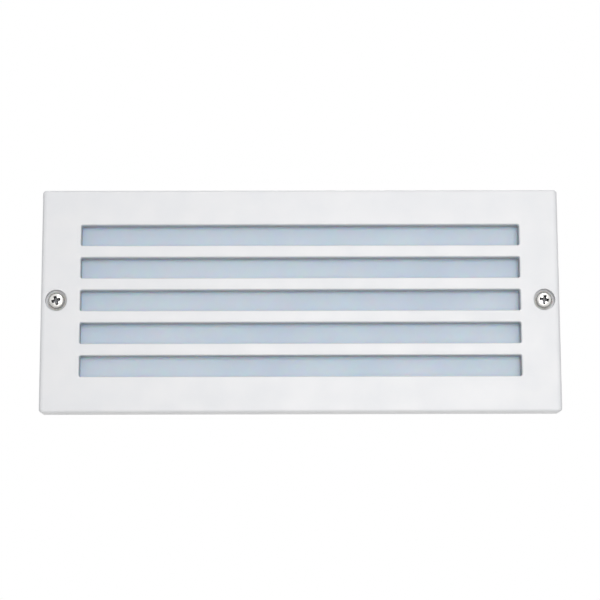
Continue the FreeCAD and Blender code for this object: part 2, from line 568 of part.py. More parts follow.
def make_faceplate():
    """Cast plate with side walls, a thick field of louvre bars, bosses and a gasket rib."""
    body = start("faceplate")
    sketch = sketch_on(body, "XZ_Plane")
    rounded(sketch, "Dim.plate_width", "Dim.plate_height", "Dim.plate_corner")
    pad(body, sketch, "Dim.plate_projection")
    sketch = sketch_on(body, "XZ_Plane")
    rounded(sketch, "(Dim.plate_width - 2 * Dim.plate_rim)", "(Dim.plate_height - 2 * Dim.plate_rim)",
            "Dim.rim_corner")
    pocket(body, sketch, SKIN_BACK, along=True)
    sketch = sketch_on(body, "XZ_Plane", LOUVRE_BACK)
    rounded(sketch, "(%s + 2 * Dim.louvre_frame)" % SLOT_WIDTH,
            "(%s + 2 * Dim.louvre_frame)" % FIELD_HEIGHT, "Dim.rim_corner")
    pad(body, sketch, "Dim.louvre_depth - Dim.plate_skin")
    sketch = sketch_on(body, "XZ_Plane", GASKET_FRONT)
    rounded(sketch, GASKET_WIDTH, GASKET_HEIGHT, "(Dim.gasket_corner + Dim.gasket_band)")
    rounded(sketch, "(%s - 2 * Dim.gasket_band)" % GASKET_WIDTH,
            "(%s - 2 * Dim.gasket_lip)" % GASKET_HEIGHT, "Dim.gasket_corner")
    pad(body, sketch, "%s - %s" % (SKIN_BACK, GASKET_FRONT))
    sketch = sketch_on(body, "XZ_Plane", "%s - Dim.fixing_floor" % COUNTERBORE_FLOOR)
    for across, up in FIXING_SPOTS:
        circle(sketch, "Dim.fixing_boss_radius", across, up)
    pad(body, sketch, "%s - %s + Dim.fixing_floor" % (SKIN_BACK, COUNTERBORE_FLOOR))
    sketch = sketch_on(body, "XZ_Plane", GLASS_BACK)
    for across, up in CLIP_SPOTS:
        circle(sketch, "Dim.clip_boss_radius", across, up)
    pad(body, sketch, "%s - %s" % (SKIN_BACK, GLASS_BACK))
    sketch = sketch_on(body, "XZ_Plane", GLASS_BACK)
    for across, up in CLIP_SPOTS:
        circle(sketch, "Dim.clip_screw_radius + Dim.thread_gap", across, up)
    pocket(body, sketch, "Dim.clip_screw_length", along=True)
    sketch = sketch_on(body, "XZ_Plane", "Dim.plate_projection")
    rounded(sketch, SLOT_WIDTH, "Dim.slot_height", "Dim.slot_corner",
            up="-(Dim.slot_count - 1) * %s / 2" % SLOT_STEP)
    slot = pocket(body, sketch, "Dim.louvre_depth")
    repeat(body, slot, sketch, "V_Axis", "(Dim.slot_count - 1) * " + SLOT_STEP, "Dim.slot_count")
    sketch = sketch_on(body, "XZ_Plane", "Dim.plate_projection")
    for across, up in FIXING_SPOTS:
        circle(sketch, "Dim.counterbore_radius", across, up)
    pocket(body, sketch, "Dim.counterbore_depth")
    sketch = sketch_on(body, "XZ_Plane", COUNTERBORE_FLOOR)
    for across, up in FIXING_SPOTS:
        circle(sketch, "Dim.fixing_hole_radius", across, up)
    pocket(body, sketch, "Dim.fixing_floor")
    front = -measure("Dim.plate_projection")
    wide, tall = measure("Dim.plate_width / 2"), measure("Dim.plate_height / 2")
    dress(body, "Fillet", "Dim.plate_edge",
          lambda box: flat(box, "Y", front)
          and (reach(box)[0] > wide - TINY or reach(box)[1] > tall - TINY))
    field_wide, field_tall = measure(SLOT_WIDTH + " / 2"), measure(FIELD_HEIGHT + " / 2")
    dress(body, "Fillet", "Dim.slot_edge",
          lambda box: flat(box, "Y", front)
          and reach(box)[0] < field_wide + TINY and reach(box)[1] < field_tall + TINY)


def make_lens():
    """Frosted pane, the gasket in front of it, and the clips and screws that hold it."""
    body = start("glass_lens")
    sketch = sketch_on(body, "XZ_Plane", GLASS_BACK)
    rounded(sketch, GLASS_WIDTH, GLASS_HEIGHT, "Dim.glass_corner")
    pad(body, sketch, "Dim.glass_thickness")
    dress(body, "Chamfer", "Dim.glass_edge", lambda box: box.YLength < TINY)

    body = start("lens_gasket")
    sketch = sketch_on(body, "XZ_Plane", GLASS_FRONT)
    rounded(sketch, "(%s + 2 * Dim.louvre_frame - 2 * Dim.lens_gasket_inset)" % SLOT_WIDTH,
            "(%s + 2 * Dim.louvre_frame - 2 * Dim.lens_gasket_inset)" % FIELD_HEIGHT, "Dim.glass_corner")
    rounded(sketch, "(%s + 2 * Dim.lens_gasket_inset)" % SLOT_WIDTH,
            "(%s + 2 * Dim.lens_gasket_inset)" % FIELD_HEIGHT, "Dim.slot_corner")
    pad(body, sketch, "Dim.lens_gasket_thickness")

    body = start("lens_clips")
    sketch = sketch_on(body, "XZ_Plane", CLIP_BACK)
    for across, up in CLIP_SPOTS:
        circle(sketch, "Dim.clip_screw_radius + Dim.thread_gap", across, up)
    for east, north in QUARTERS:
        left = "%d * Dim.clip_spacing / 2 - Dim.clip_width / 2" % east
        right = "%d * Dim.clip_spacing / 2 + Dim.clip_width / 2" % east
        inner = "%d * (%s / 2 - Dim.clip_grip)" % (north, GLASS_HEIGHT)
        outer = "%d * (%s + Dim.clip_margin)" % (north, CLIP_UP)
        outline(sketch, ((left, inner), (right, inner), (right, outer), (left, outer)))
    pad(body, sketch, "Dim.clip_thickness")

    body = screws("lens_clip_screws", CLIP_SPOTS, "Dim.clip_screw_radius",
                  "Dim.clip_screw_length", "Dim.clip_head_radius",
                  "Dim.clip_head_height", SMALL_RECESS)
    place(body, "0", "-" + CLIP_BACK, "0", BACKWARD)


def make_face_screws():
    """The two screws in the front, each over its own washer."""
    for name, east in (("left", -1), ("right", 1)):
        across = "%d * %s" % (east, FIXING_ACROSS)
        washer = ring("screw_washer_" + name, "Dim.washer_radius",
                      "Dim.face_screw_radius + Dim.washer_gap", "Dim.washer_thickness")
        place(washer, across, "-" + COUNTERBORE_FLOOR, "0", FORWARD)
        screw = screws("face_screw_" + name, [("0", "0")], "Dim.face_screw_radius",
                       "Dim.face_screw_length", "Dim.face_head_radius", "Dim.face_head_height",
                       ("Dim.recess_span", "Dim.recess_arm", "Dim.recess_depth"), "Dim.face_head_edge")
        place(screw, across, "-(%s + Dim.washer_thickness)" % COUNTERBORE_FLOOR, "0", FORWARD,
              LAST_SPIN[name])


def raise_bosses(body, spots, radius, front, thread, depth):
    """Bosses on the floor of the box, each with a blind tapped hole."""
    sketch = sketch_on(body, "XZ_Plane", "-" + BOX_FLOOR)
    for across, up in spots:
        circle(sketch, radius, across, up)
    pad(body, sketch, "%s - %s" % (BOX_FLOOR, front))
    sketch = sketch_on(body, "XZ_Plane", "-%s" % front)
    for across, up in spots:
        circle(sketch, "%s + Dim.thread_gap" % thread, across, up)
    pocket(body, sketch, depth)


def make_housing():
    """Cast box with a flange, tapped bosses, a conduit entry at each end and holes in the back."""
    body = start("housing")
    sketch = sketch_on(body, "XZ_Plane")
    rounded(sketch, "(Dim.plate_width - 2 * Dim.plate_rim - 2 * Dim.flange_gap)",
            "(Dim.plate_height - 2 * Dim.plate_rim - 2 * Dim.flange_gap)", "Dim.flange_corner")
    pad(body, sketch, "Dim.flange_thickness")
    sketch = sketch_on(body, "XZ_Plane")
    rounded(sketch, BOX_WIDTH, BOX_HEIGHT, "Dim.box_corner")
    pad(body, sketch, "Dim.box_depth", against=True, draft="-Dim.box_draft")
    back = measure("Dim.box_depth")
    dress(body, "Fillet", "Dim.box_back_edge", lambda box: flat(box, "Y", back))
    sketch = sketch_on(body, "XZ_Plane")
    for across, up in FIXING_SPOTS:
        circle(sketch, "Dim.boss_radius", across, up)
    pad(body, sketch, "Dim.boss_depth", against=True)
    sketch = sketch_on(body, "YZ_Plane", ENTRY_FACE)
    circle(sketch, "Dim.entry_boss_radius", "Dim.entry_height", "0")
    entry = pad(body, sketch, "Dim.entry_length", against=True)
    mirror(body, entry, "YZ_Plane")
    sketch = sketch_on(body, "XZ_Plane", "Dim.flange_thickness")
    rounded(sketch, "(%s - 2 * Dim.box_wall)" % BOX_WIDTH, "(%s - 2 * Dim.box_wall)" % BOX_HEIGHT,
            "(Dim.box_corner - Dim.box_wall)")
    pocket(body, sketch, "Dim.flange_thickness + " + BOX_FLOOR, draft="-Dim.box_draft")
    sketch = sketch_on(body, "YZ_Plane", ENTRY_FACE)
    circle(sketch, "Dim.entry_boss_radius", "Dim.entry_height", "0")
    circle(sketch, "Dim.entry_radius", "Dim.entry_height", "0")
    entry = pad(body, sketch, "Dim.entry_length", against=True)
    mirror(body, entry, "YZ_Plane")
    sketch = sketch_on(body, "YZ_Plane", ENTRY_FACE)
    circle(sketch, "Dim.entry_radius", "Dim.entry_height", "0")
    entry = pocket(body, sketch, "Dim.entry_length")
    mirror(body, entry, "YZ_Plane")
    sketch = sketch_on(body, "XZ_Plane", "Dim.flange_thickness")
    for across, up in FIXING_SPOTS:
        circle(sketch, "Dim.face_screw_radius + Dim.thread_gap", across, up)
    pocket(body, sketch, "Dim.flange_thickness + Dim.boss_bore_depth")
    raise_bosses(body, REFLECTOR_SPOTS + BRACKET_SPOTS + BLOCK_SPOTS, "Dim.base_boss_radius",
                 BASE_FRONT, "Dim.small_screw_radius", "Dim.small_screw_length")
    raise_bosses(body, [EARTH_SPOT], "Dim.earth_boss_radius", RING_BACK,
                 "Dim.earth_screw_radius", "Dim.earth_screw_length")
    sketch = sketch_on(body, "XZ_Plane", "-Dim.box_depth")
    for across, up in BACK_SPOTS:
        circle(sketch, "Dim.back_hole_radius", across, up)
    pocket(body, sketch, "Dim.box_wall", along=True)


def make_body_gasket():
    """Band of silicone between the flange and the faceplate's rib, inside the face screws."""
    body = start("body_gasket")
    sketch = sketch_on(body, "XZ_Plane", "Dim.flange_thickness")
    rounded(sketch, GASKET_WIDTH, GASKET_HEIGHT, "(Dim.gasket_corner + Dim.gasket_band)")
    rounded(sketch, "(%s - 2 * Dim.gasket_band)" % GASKET_WIDTH,
            "(%s - 2 * Dim.gasket_lip)" % GASKET_HEIGHT, "Dim.gasket_corner")
    pad(body, sketch, "Dim.gasket_thickness")


def make_plug():
    """Slotted plug in the left entry, over a flat washer."""
    seal = ring("plug_seal", "Dim.plug_head_radius", "Dim.plug_radius + Dim.plug_seal_gap",
                "Dim.plug_seal_thickness")
    place(seal, "-" + ENTRY_FACE, "Dim.entry_height", "0", LEFTWARD)
    body = start("blanking_plug")
    sketch = sketch_on(body, "XY_Plane")
    circle(sketch, "Dim.plug_head_radius")
    pad(body, sketch, "Dim.plug_head_height")
    top = measure("Dim.plug_head_height")
    dress(body, "Fillet", "Dim.plug_edge", lambda box: flat(box, "Z", top))
    sketch = sketch_on(body, "XY_Plane")
    circle(sketch, "Dim.plug_radius")
    pad(body, sketch, "Dim.plug_length + Dim.plug_seal_thickness", against=True)
    sketch = sketch_on(body, "XY_Plane", "Dim.plug_head_height")
    rectangle(sketch, "(2 * Dim.plug_head_radius)", "Dim.plug_slot_width")
    pocket(body, sketch, "Dim.plug_slot_depth")
    place(body, "-(%s + Dim.plug_seal_thickness)" % ENTRY_FACE, "Dim.entry_height", "0", LEFTWARD)


def make_reflector():
    """Folded sheet behind the lamp, and its two screws."""
    body = start("reflector")
    sketch = sketch_on(body, "YZ_Plane", REFLECTOR_LEFT)
    front, back = "Dim.reflector_front", BASE_FRONT
    mouth, floor = "(%s / 2 - Dim.box_wall - Dim.reflector_gap)" % BOX_HEIGHT, "Dim.reflector_floor / 2"
    sheet_size = "Dim.reflector_thickness"
    inner = REFLECTOR_FACE
    outline(sketch, (
        (front, mouth), (back, floor), (back, "-" + floor), (front, "-" + mouth),
        (front, "-%s + %s" % (mouth, sheet_size)), (inner, "-%s + %s" % (floor, sheet_size)),
        (inner, "%s - %s" % (floor, sheet_size)), (front, "%s - %s" % (mouth, sheet_size))))
    pad(body, sketch, "%s - %s" % (REFLECTOR_RIGHT, REFLECTOR_LEFT))
    sketch = sketch_on(body, "XZ_Plane", "-" + inner)
    for across, up in REFLECTOR_SPOTS:
        circle(sketch, "Dim.small_screw_radius + Dim.small_hole_gap", across, up)
    pocket(body, sketch, sheet_size)

    body = screws("reflector_screws", REFLECTOR_SPOTS, "Dim.small_screw_radius",
                  "Dim.small_screw_length", "Dim.small_head_radius", "Dim.small_head_height",
                  SMALL_RECESS)
    place(body, "0", inner, "0", FORWARD)


def make_bracket():
    """Bent sheet that stands the lampholder off the back of the box, and its screws."""
    body = start("lampholder_bracket")
    sketch = sketch_on(body, "XY_Plane")
    near, far, front = HOLDER_FOOT, BRACKET_OUTER, "%s - Dim.bracket_margin" % LAMP_AXIS
    outline(sketch, (
        (near, front), (far, front), (far, "%s - Dim.bracket_sheet" % BASE_FRONT),
        (BRACKET_END, "%s - Dim.bracket_sheet" % BASE_FRONT), (BRACKET_END, BASE_FRONT),
        (near, BASE_FRONT)))
    pad(body, sketch, "Dim.bracket_width", middle=True)
    inner_x, inner_y = measure(far), measure("%s - Dim.bracket_sheet" % BASE_FRONT)
    outer_x, outer_y = measure(near), measure(BASE_FRONT)
    dress(body, "Fillet", "Dim.bracket_bend",
          lambda box: flat(box, "X", inner_x) and flat(box, "Y", inner_y))
    dress(body, "Fillet", "Dim.bracket_bend + Dim.bracket_sheet",
          lambda box: flat(box, "X", outer_x) and flat(box, "Y", outer_y))
    sketch = sketch_on(body, "YZ_Plane", far)
    rectangle(sketch, "Dim.window_height", "Dim.window_width", across=POLE_DEPTH)
    for north in (-1, 1):
        circle(sketch, "Dim.small_screw_radius + Dim.small_hole_gap", LAMP_AXIS,
               "%d * Dim.holder_screw_across" % north)
    pocket(body, sketch, "Dim.bracket_sheet")
    sketch = sketch_on(body, "XZ_Plane", "-(%s - Dim.bracket_sheet)" % BASE_FRONT)
    for across, up in BRACKET_SPOTS:
        circle(sketch, "Dim.small_screw_radius + Dim.small_hole_gap", across, up)
    pocket(body, sketch, "Dim.bracket_sheet")

    body = screws("bracket_screws", BRACKET_SPOTS, "Dim.small_screw_radius",
                  "Dim.small_screw_length", "Dim.small_head_radius", "Dim.small_head_height",
                  SMALL_RECESS)
    place(body, "0", "%s - Dim.bracket_sheet" % BASE_FRONT, "0", FORWARD)


def make_lampholder():
    """Porcelain holder with its thread shell, contacts, terminals and fixing screws."""
    pole_spots = [("%d * Dim.pole_across" % side, "Dim.pole_back") for side in (-1, 1)]
    screw_spots = [("%d * Dim.holder_screw_across" % side, "0") for side in (-1, 1)]
    seat = (HOLDER_MOUTH, LAMP_AXIS, "0", RIGHTWARD)

    body = start("lampholder_body")
    sketch = sketch_on(body, "XZ_Plane")
    foot = "Dim.holder_length - Dim.holder_foot"
    outline(sketch, (
        ("Dim.holder_bore", "0"), ("Dim.holder_radius - Dim.holder_edge", "0"),
        ("Dim.holder_radius", "Dim.holder_edge"), ("Dim.holder_radius", foot),
        ("Dim.holder_foot_radius", foot), ("Dim.holder_foot_radius", "Dim.holder_length"),
        ("0", "Dim.holder_length"), ("0", "Dim.holder_floor"), ("Dim.holder_well", "Dim.holder_floor"),
        ("Dim.holder_well", "Dim.holder_seat"), ("Dim.holder_bore", "Dim.holder_seat")))
    revolve(body, sketch)
    sketch = sketch_on(body, "XY_Plane", "Dim.holder_length")
    for across, up in pole_spots:
        circle(sketch, "Dim.pole_radius + Dim.pole_gap", across, up)
    pocket(body, sketch, "Dim.holder_length - Dim.pole_bottom")
    sketch = sketch_on(body, "XY_Plane", "Dim.holder_length")
    for across, up in screw_spots:
        circle(sketch, "Dim.small_screw_radius + Dim.thread_gap", across, up)
    pocket(body, sketch, "Dim.small_screw_length")
    place(body, *seat)

    body = start("lampholder_thread_shell")
    sketch = sketch_on(body, "XY_Plane", "Dim.shell_start")
    circle(sketch, "Dim.shell_radius")
    circle(sketch, "Dim.shell_radius - Dim.shell_wall")
    pad(body, sketch, "Dim.holder_seat - Dim.shell_start")
    place(body, *seat)

    body = start("lampholder_centre_contact")
    sketch = sketch_on(body, "XZ_Plane")
    head_end = "Dim.lamp_entry + Dim.contact_sheet"
    outline(sketch, (
        ("0", "Dim.lamp_entry"), ("Dim.contact_radius", "Dim.lamp_entry"),
        ("Dim.contact_radius", head_end), ("Dim.contact_stem", head_end),
        ("Dim.contact_stem", "Dim.holder_floor - Dim.contact_sheet"),
        ("Dim.contact_foot", "Dim.holder_floor - Dim.contact_sheet"),
        ("Dim.contact_foot", "Dim.holder_floor"), ("0", "Dim.holder_floor")))
    revolve(body, sketch)
    place(body, *seat)

    body = start("lampholder_terminals")
    sketch = sketch_on(body, "XY_Plane", "Dim.pole_bottom")
    for across, up in pole_spots:
        circle(sketch, "Dim.pole_radius", across, up)
    pad(body, sketch, "Dim.pole_length")
    sketch = sketch_on(body, "XY_Plane", "Dim.pole_bottom + Dim.pole_length")
    for across, up in pole_spots:
        circle(sketch, "Dim.lead_radius + Dim.lead_gap", across, up)
    pocket(body, sketch, "Dim.pole_bore_depth")
    place(body, *seat)

    body = screws("lampholder_screws", screw_spots, "Dim.small_screw_radius",
                  "Dim.small_screw_length", "Dim.small_head_radius", "Dim.small_head_height",
                  SMALL_RECESS)
    place(body, BRACKET_OUTER, LAMP_AXIS, "0", RIGHTWARD)


def make_lamp():
    """Screw-cap lamp: contact, insulator, cap, body, driver, light source and globe."""
    seat = (LAMP_FOOT, LAMP_AXIS, "0", LEFTWARD)
    insulator_top = "Dim.tip_height + Dim.insulator_slope"

    body = start("lamp_tip_contact")
    sketch = sketch_on(body, "XY_Plane")
    circle(sketch, "Dim.tip_radius")
    pad(body, sketch, "Dim.tip_height")
    place(body, *seat)

    body = start("lamp_cap_insulator")
    sketch = sketch_on(body, "XZ_Plane")
    outline(sketch, (
        ("0", "Dim.tip_height"), ("Dim.insulator_radius", "Dim.tip_height"),
        ("Dim.cap_radius", insulator_top), ("Dim.cap_radius", "Dim.cap_start"), ("0", "Dim.cap_start")))
    revolve(body, sketch)
    place(body, *seat)

    body = start("lamp_cap")
    sketch = sketch_on(body, "XY_Plane", "Dim.cap_start")
    circle(sketch, "Dim.cap_radius")
    circle(sketch, "Dim.cap_radius - Dim.cap_wall")
    pad(body, sketch, "Dim.cap_end - Dim.cap_start")
    place(body, *seat)

    body = start("lamp_body")
    sketch = sketch_on(body, "XZ_Plane")
    outline(sketch, (
        ("Dim.neck_radius", "Dim.cap_end"), ("Dim.cap_radius", "Dim.cap_end"),
        ("Dim.neck_outer", "Dim.neck_height"), ("Dim.shade_radius", "Dim.shade_start"),
        ("Dim.shade_radius", "Dim.shade_end"), ("Dim.shelf_outer", "Dim.shade_end"),
        ("Dim.shelf_outer", "Dim.shade_start"), ("Dim.shelf_radius", "Dim.shade_start"),
        ("Dim.neck_radius", "Dim.neck_height")))
    revolve(body, sketch)
    place(body, *seat)

    body = start("lamp_driver_board")
    sketch = sketch_on(body, "XZ_Plane")
    rectangle(sketch, "Dim.driver_width", "(Dim.shade_start - Dim.driver_start)",
              up="(Dim.shade_start + Dim.driver_start) / 2")
    pad(body, sketch, "Dim.board_thickness", middle=True)
    place(body, *seat)

    body = start("lamp_source_board")
    sketch = sketch_on(body, "XY_Plane", "Dim.shade_start")
    circle(sketch, "Dim.board_radius")
    pad(body, sketch, "Dim.board_thickness")
    place(body, *seat)

    body = start("lamp_source_chips")
    sketch = sketch_on(body, "XY_Plane", "Dim.shade_start + Dim.board_thickness")
    count = int(measure("Dim.chip_count"))
    for number in range(count):
        angle = "(%d * 360 deg / Dim.chip_count)" % number
        rectangle(sketch, "Dim.chip_size", "Dim.chip_size",
                  "Dim.chip_ring * cos%s" % angle, "Dim.chip_ring * sin%s" % angle)
    pad(body, sketch, "Dim.chip_height")
    place(body, *seat)

    body = start("lamp_globe")
    sketch = sketch_on(body, "XZ_Plane")
    offset = "(Dim.globe_centre - Dim.shade_end)"
    inner = "(Dim.globe_radius - Dim.globe_wall)"
    outline(sketch, (
        ("sqrt(Dim.globe_radius * Dim.globe_radius - %s * %s)" % (offset, offset), "Dim.shade_end"),
        ("0", "Dim.globe_centre + Dim.globe_radius"),
        ("0", "Dim.globe_centre + " + inner),
        ("sqrt(%s * %s - %s * %s)" % (inner, inner, offset, offset), "Dim.shade_end")),
        {0: ("Dim.globe_radius", ("0", "Dim.globe_centre")), 2: (inner, ("0", "Dim.globe_centre"))})
    revolve(body, sketch)
    place(body, *seat)


def make_terminal_block():
    """Three-pole block with metal tubes, clamp screws and two fixing screws."""
    ends = ("%s + Dim.clamp_inset" % TUBE_LEFT, "%s + %s - Dim.clamp_inset" % (TUBE_LEFT, TUBE_LENGTH))
    clamp_spots = [(across, up) for across in ends for up in BLOCK_ROWS]

    body = start("terminal_block")
    sketch = sketch_on(body, "XZ_Plane", "-" + BASE_FRONT)
    rectangle(sketch, "Dim.block_length", "Dim.block_height", across=BLOCK_MIDDLE)
    pad(body, sketch, "Dim.block_depth")
    sketch = sketch_on(body, "YZ_Plane", BLOCK_LEFT)
    for up in BLOCK_ROWS:
        circle(sketch, "Dim.tube_radius + Dim.block_gap", TUBE_DEPTH, up)
    pocket(body, sketch, "Dim.block_length", along=True)
    sketch = sketch_on(body, "XZ_Plane", "-(%s - Dim.block_depth)" % BASE_FRONT)
    for across, up in clamp_spots:
        circle(sketch, "Dim.clamp_radius + 2 * Dim.block_gap", across, up)
    pocket(body, sketch, "Dim.block_depth - Dim.block_axis")
    sketch = sketch_on(body, "XZ_Plane", "-(%s - Dim.block_depth)" % BASE_FRONT)
    for across, up in BLOCK_SPOTS:
        circle(sketch, "Dim.small_screw_radius + Dim.small_hole_gap", across, up)
    pocket(body, sketch, "Dim.block_depth")
    return clamp_spots


def make_terminals(clamp_spots):
    """Tubes with a blind bore at each end, and the screws that clamp the leads in them."""
    body = start("terminal_tubes")
    sketch = sketch_on(body, "YZ_Plane", TUBE_LEFT)
    for up in BLOCK_ROWS:
        circle(sketch, "Dim.tube_radius", TUBE_DEPTH, up)
    pad(body, sketch, TUBE_LENGTH)
    for offset, along in ((TUBE_LEFT, True), ("%s + %s" % (TUBE_LEFT, TUBE_LENGTH), False)):
        sketch = sketch_on(body, "YZ_Plane", offset)
        for up in BLOCK_ROWS:
            circle(sketch, "Dim.tube_bore", TUBE_DEPTH, up)
        pocket(body, sketch, TUBE_BORE_DEPTH, along=along)
    sketch = sketch_on(body, "XZ_Plane", "-(%s - Dim.tube_radius)" % TUBE_DEPTH)
    for across, up in clamp_spots:
        circle(sketch, "Dim.clamp_radius + Dim.thread_gap", across, up)
    pocket(body, sketch, "Dim.tube_radius")

    body = start("terminal_clamp_screws")
    tip = "(%s - Dim.lead_radius - Dim.clamp_lead_gap)" % TUBE_DEPTH
    sketch = sketch_on(body, "XZ_Plane", "-" + tip)
    for across, up in clamp_spots:
        circle(sketch, "Dim.clamp_radius", across, up)
    pad(body, sketch, "Dim.clamp_length")
    sketch = sketch_on(body, "XZ_Plane", "-(%s - Dim.clamp_length)" % tip)
    for across, up in clamp_spots:
        rectangle(sketch, "(2 * Dim.clamp_radius + 2 * Dim.clamp_slot)", "Dim.clamp_slot", across, up)
    pocket(body, sketch, "Dim.clamp_slot_depth")

    body = screws("terminal_block_screws", BLOCK_SPOTS, "Dim.small_screw_radius",
                  "Dim.block_depth + Dim.small_screw_length", "Dim.small_head_radius",
                  "Dim.small_head_height", SMALL_RECESS)
    place(body, "0", "%s - Dim.block_depth" % BASE_FRONT, "0", FORWARD)


def make_earth():
    """Ring terminal on its boss, with a toothed washer and a screw."""
    body = start("earth_ring_terminal")
    sketch = sketch_on(body, "XZ_Plane", "-" + RING_BACK)
    circle(sketch, "Dim.ring_radius", *EARTH_SPOT)
    pad(body, sketch, "Dim.ring_sheet")
    sketch = sketch_on(body, "XZ_Plane", "-" + RING_BACK)
    rectangle(sketch, "Dim.tongue_width", "Dim.barrel_start", EARTH_ACROSS,
              "(%s - Dim.barrel_start / 2)" % EARTH_UP)
    pad(body, sketch, "Dim.ring_sheet")
    sketch = sketch_on(body, "XY_Plane", BARREL_START)
    circle(sketch, "Dim.barrel_radius", EARTH_ACROSS, TUBE_DEPTH)
    pad(body, sketch, "Dim.barrel_length")
    sketch = sketch_on(body, "XY_Plane", BARREL_START)
    circle(sketch, "Dim.lead_radius + Dim.lead_gap", EARTH_ACROSS, TUBE_DEPTH)
    pocket(body, sketch, "Dim.barrel_bore_depth", along=True)
    sketch = sketch_on(body, "XZ_Plane", "-" + RING_FRONT)
    circle(sketch, "Dim.ring_hole", *EARTH_SPOT)
    pocket(body, sketch, "Dim.ring_sheet")

    washer = ring("earth_washer", "Dim.earth_washer_radius", "Dim.earth_screw_radius + Dim.washer_gap",
                  "Dim.earth_washer_thickness")
    place(washer, EARTH_ACROSS, RING_FRONT, EARTH_UP, FORWARD)
    screw = screws("earth_screw", [("0", "0")], "Dim.earth_screw_radius", "Dim.earth_screw_length",
                   "Dim.face_head_radius", "Dim.face_head_height",
                   ("Dim.recess_span", "Dim.recess_arm", "Dim.recess_depth"), "Dim.face_head_edge")
    place(screw, EARTH_ACROSS, "%s - Dim.earth_washer_thickness" % RING_FRONT, EARTH_UP, FORWARD)


def make_lead(label, points):
    """A round lead along straight runs that tangent arcs join."""
    spots = [FreeCAD.Vector(*[measure(size) for size in point]) for point in points]
    edges = []
    here = spots[0]
    for before, corner, after in zip(spots, spots[1:], spots[2:]):
        inward, outward = (corner - before), (after - corner)
        turn = inward.getAngle(outward)
        cut = BEND_SHARE * min(inward.Length, outward.Length)
        radius = cut / math.tan(turn / 2)
        inward.normalize()
        outward.normalize()
        arc_start, arc_end = corner - inward * cut, corner + outward * cut
        towards = (outward - inward).normalize()
        arc_middle = corner + towards * (radius / math.cos(turn / 2) - radius)
        edges.append(Part.makeLine(here, arc_start))
        edges.append(Part.Arc(arc_start, arc_middle, arc_end).toShape())
        print("%s: bend radius %.2f" % (label, radius))
        here = arc_end
    edges.append(Part.makeLine(here, spots[-1]))
    length = sum(edge.Length for edge in edges)
    radius = measure("Dim.lead_radius")
    section = Part.Wire(Part.makeCircle(radius, spots[0], spots[1] - spots[0]))
    shape = Part.Wire(edges).makePipeShell([section], True, True)
    wanted = math.pi * radius * radius * length
    print("%s: volume %.2f, section x length %.2f" % (label, shape.Volume, wanted))
    if abs(shape.Volume - wanted) > 0.01 * wanted:
        raise RuntimeError(label + ": the sweep's volume is off")
    piece = doc.addObject("Part::Feature", "Lead")
    piece.Label = label
    piece.Shape = shape if shape.ShapeType == "Solid" else Part.Solid(shape.Shells[0])
    piece.Placement = FreeCAD.Placement()
    parts.append(piece)


def make_leads():
    """Two leads from the lampholder to the block, and one from the block to the earth screw."""
    for label, side, row in (("live_lead", 1, 0), ("neutral_lead", -1, -1)):
        high = "%d * Dim.pole_across" % side
        low = "%d * Dim.block_step" % row
        make_lead(label, (
            (POLE_END, POLE_DEPTH, high), (LEAD_BEND, POLE_DEPTH, high),
            (LEAD_BEND, TUBE_DEPTH, low), (LEAD_END, TUBE_DEPTH, low)))
    make_lead("earth_lead", (
        (LEAD_END, TUBE_DEPTH, "Dim.block_step"),
        (EARTH_ACROSS, TUBE_DEPTH, "Dim.block_step"),
        (EARTH_ACROSS, TUBE_DEPTH, "%s + Dim.barrel_bore_depth" % BARREL_START)))


make_faceplate()
make_lens()
make_face_screws()
make_housing()
make_body_gasket()
make_plug()
make_reflector()
make_bracket()
make_lampholder()
make_lamp()
make_terminals(make_terminal_block())
make_earth()
make_leads()
doc.recompute()

for item in doc.Objects:
    if "Invalid" in item.State or "Error" in item.State:
        raise RuntimeError("%s (%s): %s" % (item.Name, item.Label, item.State))
for piece in parts:
    if piece.Shape.isNull() or not piece.Shape.isValid() or not piece.Shape.Solids:
        raise RuntimeError(piece.Label + ": no valid solid")

os.makedirs("parts", exist_ok=True)
for piece in parts:
    piece.Shape.exportStep(os.path.join("parts", piece.Label + ".step"))
    box = piece.Shape.BoundBox
    print("%-26s %2d solids %10.1f mm3  x %.2f..%.2f  y %.2f..%.2f  z %.2f..%.2f" % (
        piece.Label, len(piece.Shape.Solids), piece.Shape.Volume,
        box.XMin, box.XMax, box.YMin, box.YMax, box.ZMin, box.ZMax))
print("%d sub-parts" % len(parts))
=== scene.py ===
# %% [markdown]
# # A recessed step light
# A step light sits in a wall at ankle height and throws light down through louvres.  Its body is already
# measured and packed as a frame of separate pieces.  This lesson dresses that frame: every piece gets
# the finish of the real one, and the screws, threads and washers get the small shapes that the frame
# leaves plain.

# %% Load the frame and keep its box
import json
import math
import bpy
import numpy as np
from mathutils import Matrix, Vector


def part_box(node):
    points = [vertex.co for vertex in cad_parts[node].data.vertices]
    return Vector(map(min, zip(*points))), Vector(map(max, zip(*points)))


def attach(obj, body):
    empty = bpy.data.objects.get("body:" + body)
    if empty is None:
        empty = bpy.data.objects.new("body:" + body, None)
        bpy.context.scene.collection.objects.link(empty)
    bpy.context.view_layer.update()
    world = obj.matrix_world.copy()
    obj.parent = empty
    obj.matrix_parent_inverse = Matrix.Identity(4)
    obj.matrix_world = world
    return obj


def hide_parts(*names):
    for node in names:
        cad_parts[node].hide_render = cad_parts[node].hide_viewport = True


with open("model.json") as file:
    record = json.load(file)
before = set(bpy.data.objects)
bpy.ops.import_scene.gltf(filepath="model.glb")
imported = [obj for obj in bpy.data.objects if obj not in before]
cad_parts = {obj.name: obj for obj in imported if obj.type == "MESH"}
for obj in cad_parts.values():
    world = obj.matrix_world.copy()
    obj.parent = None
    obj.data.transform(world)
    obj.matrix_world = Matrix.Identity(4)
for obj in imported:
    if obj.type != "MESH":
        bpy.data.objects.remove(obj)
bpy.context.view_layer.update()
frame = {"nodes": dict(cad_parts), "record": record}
MM = 0.001


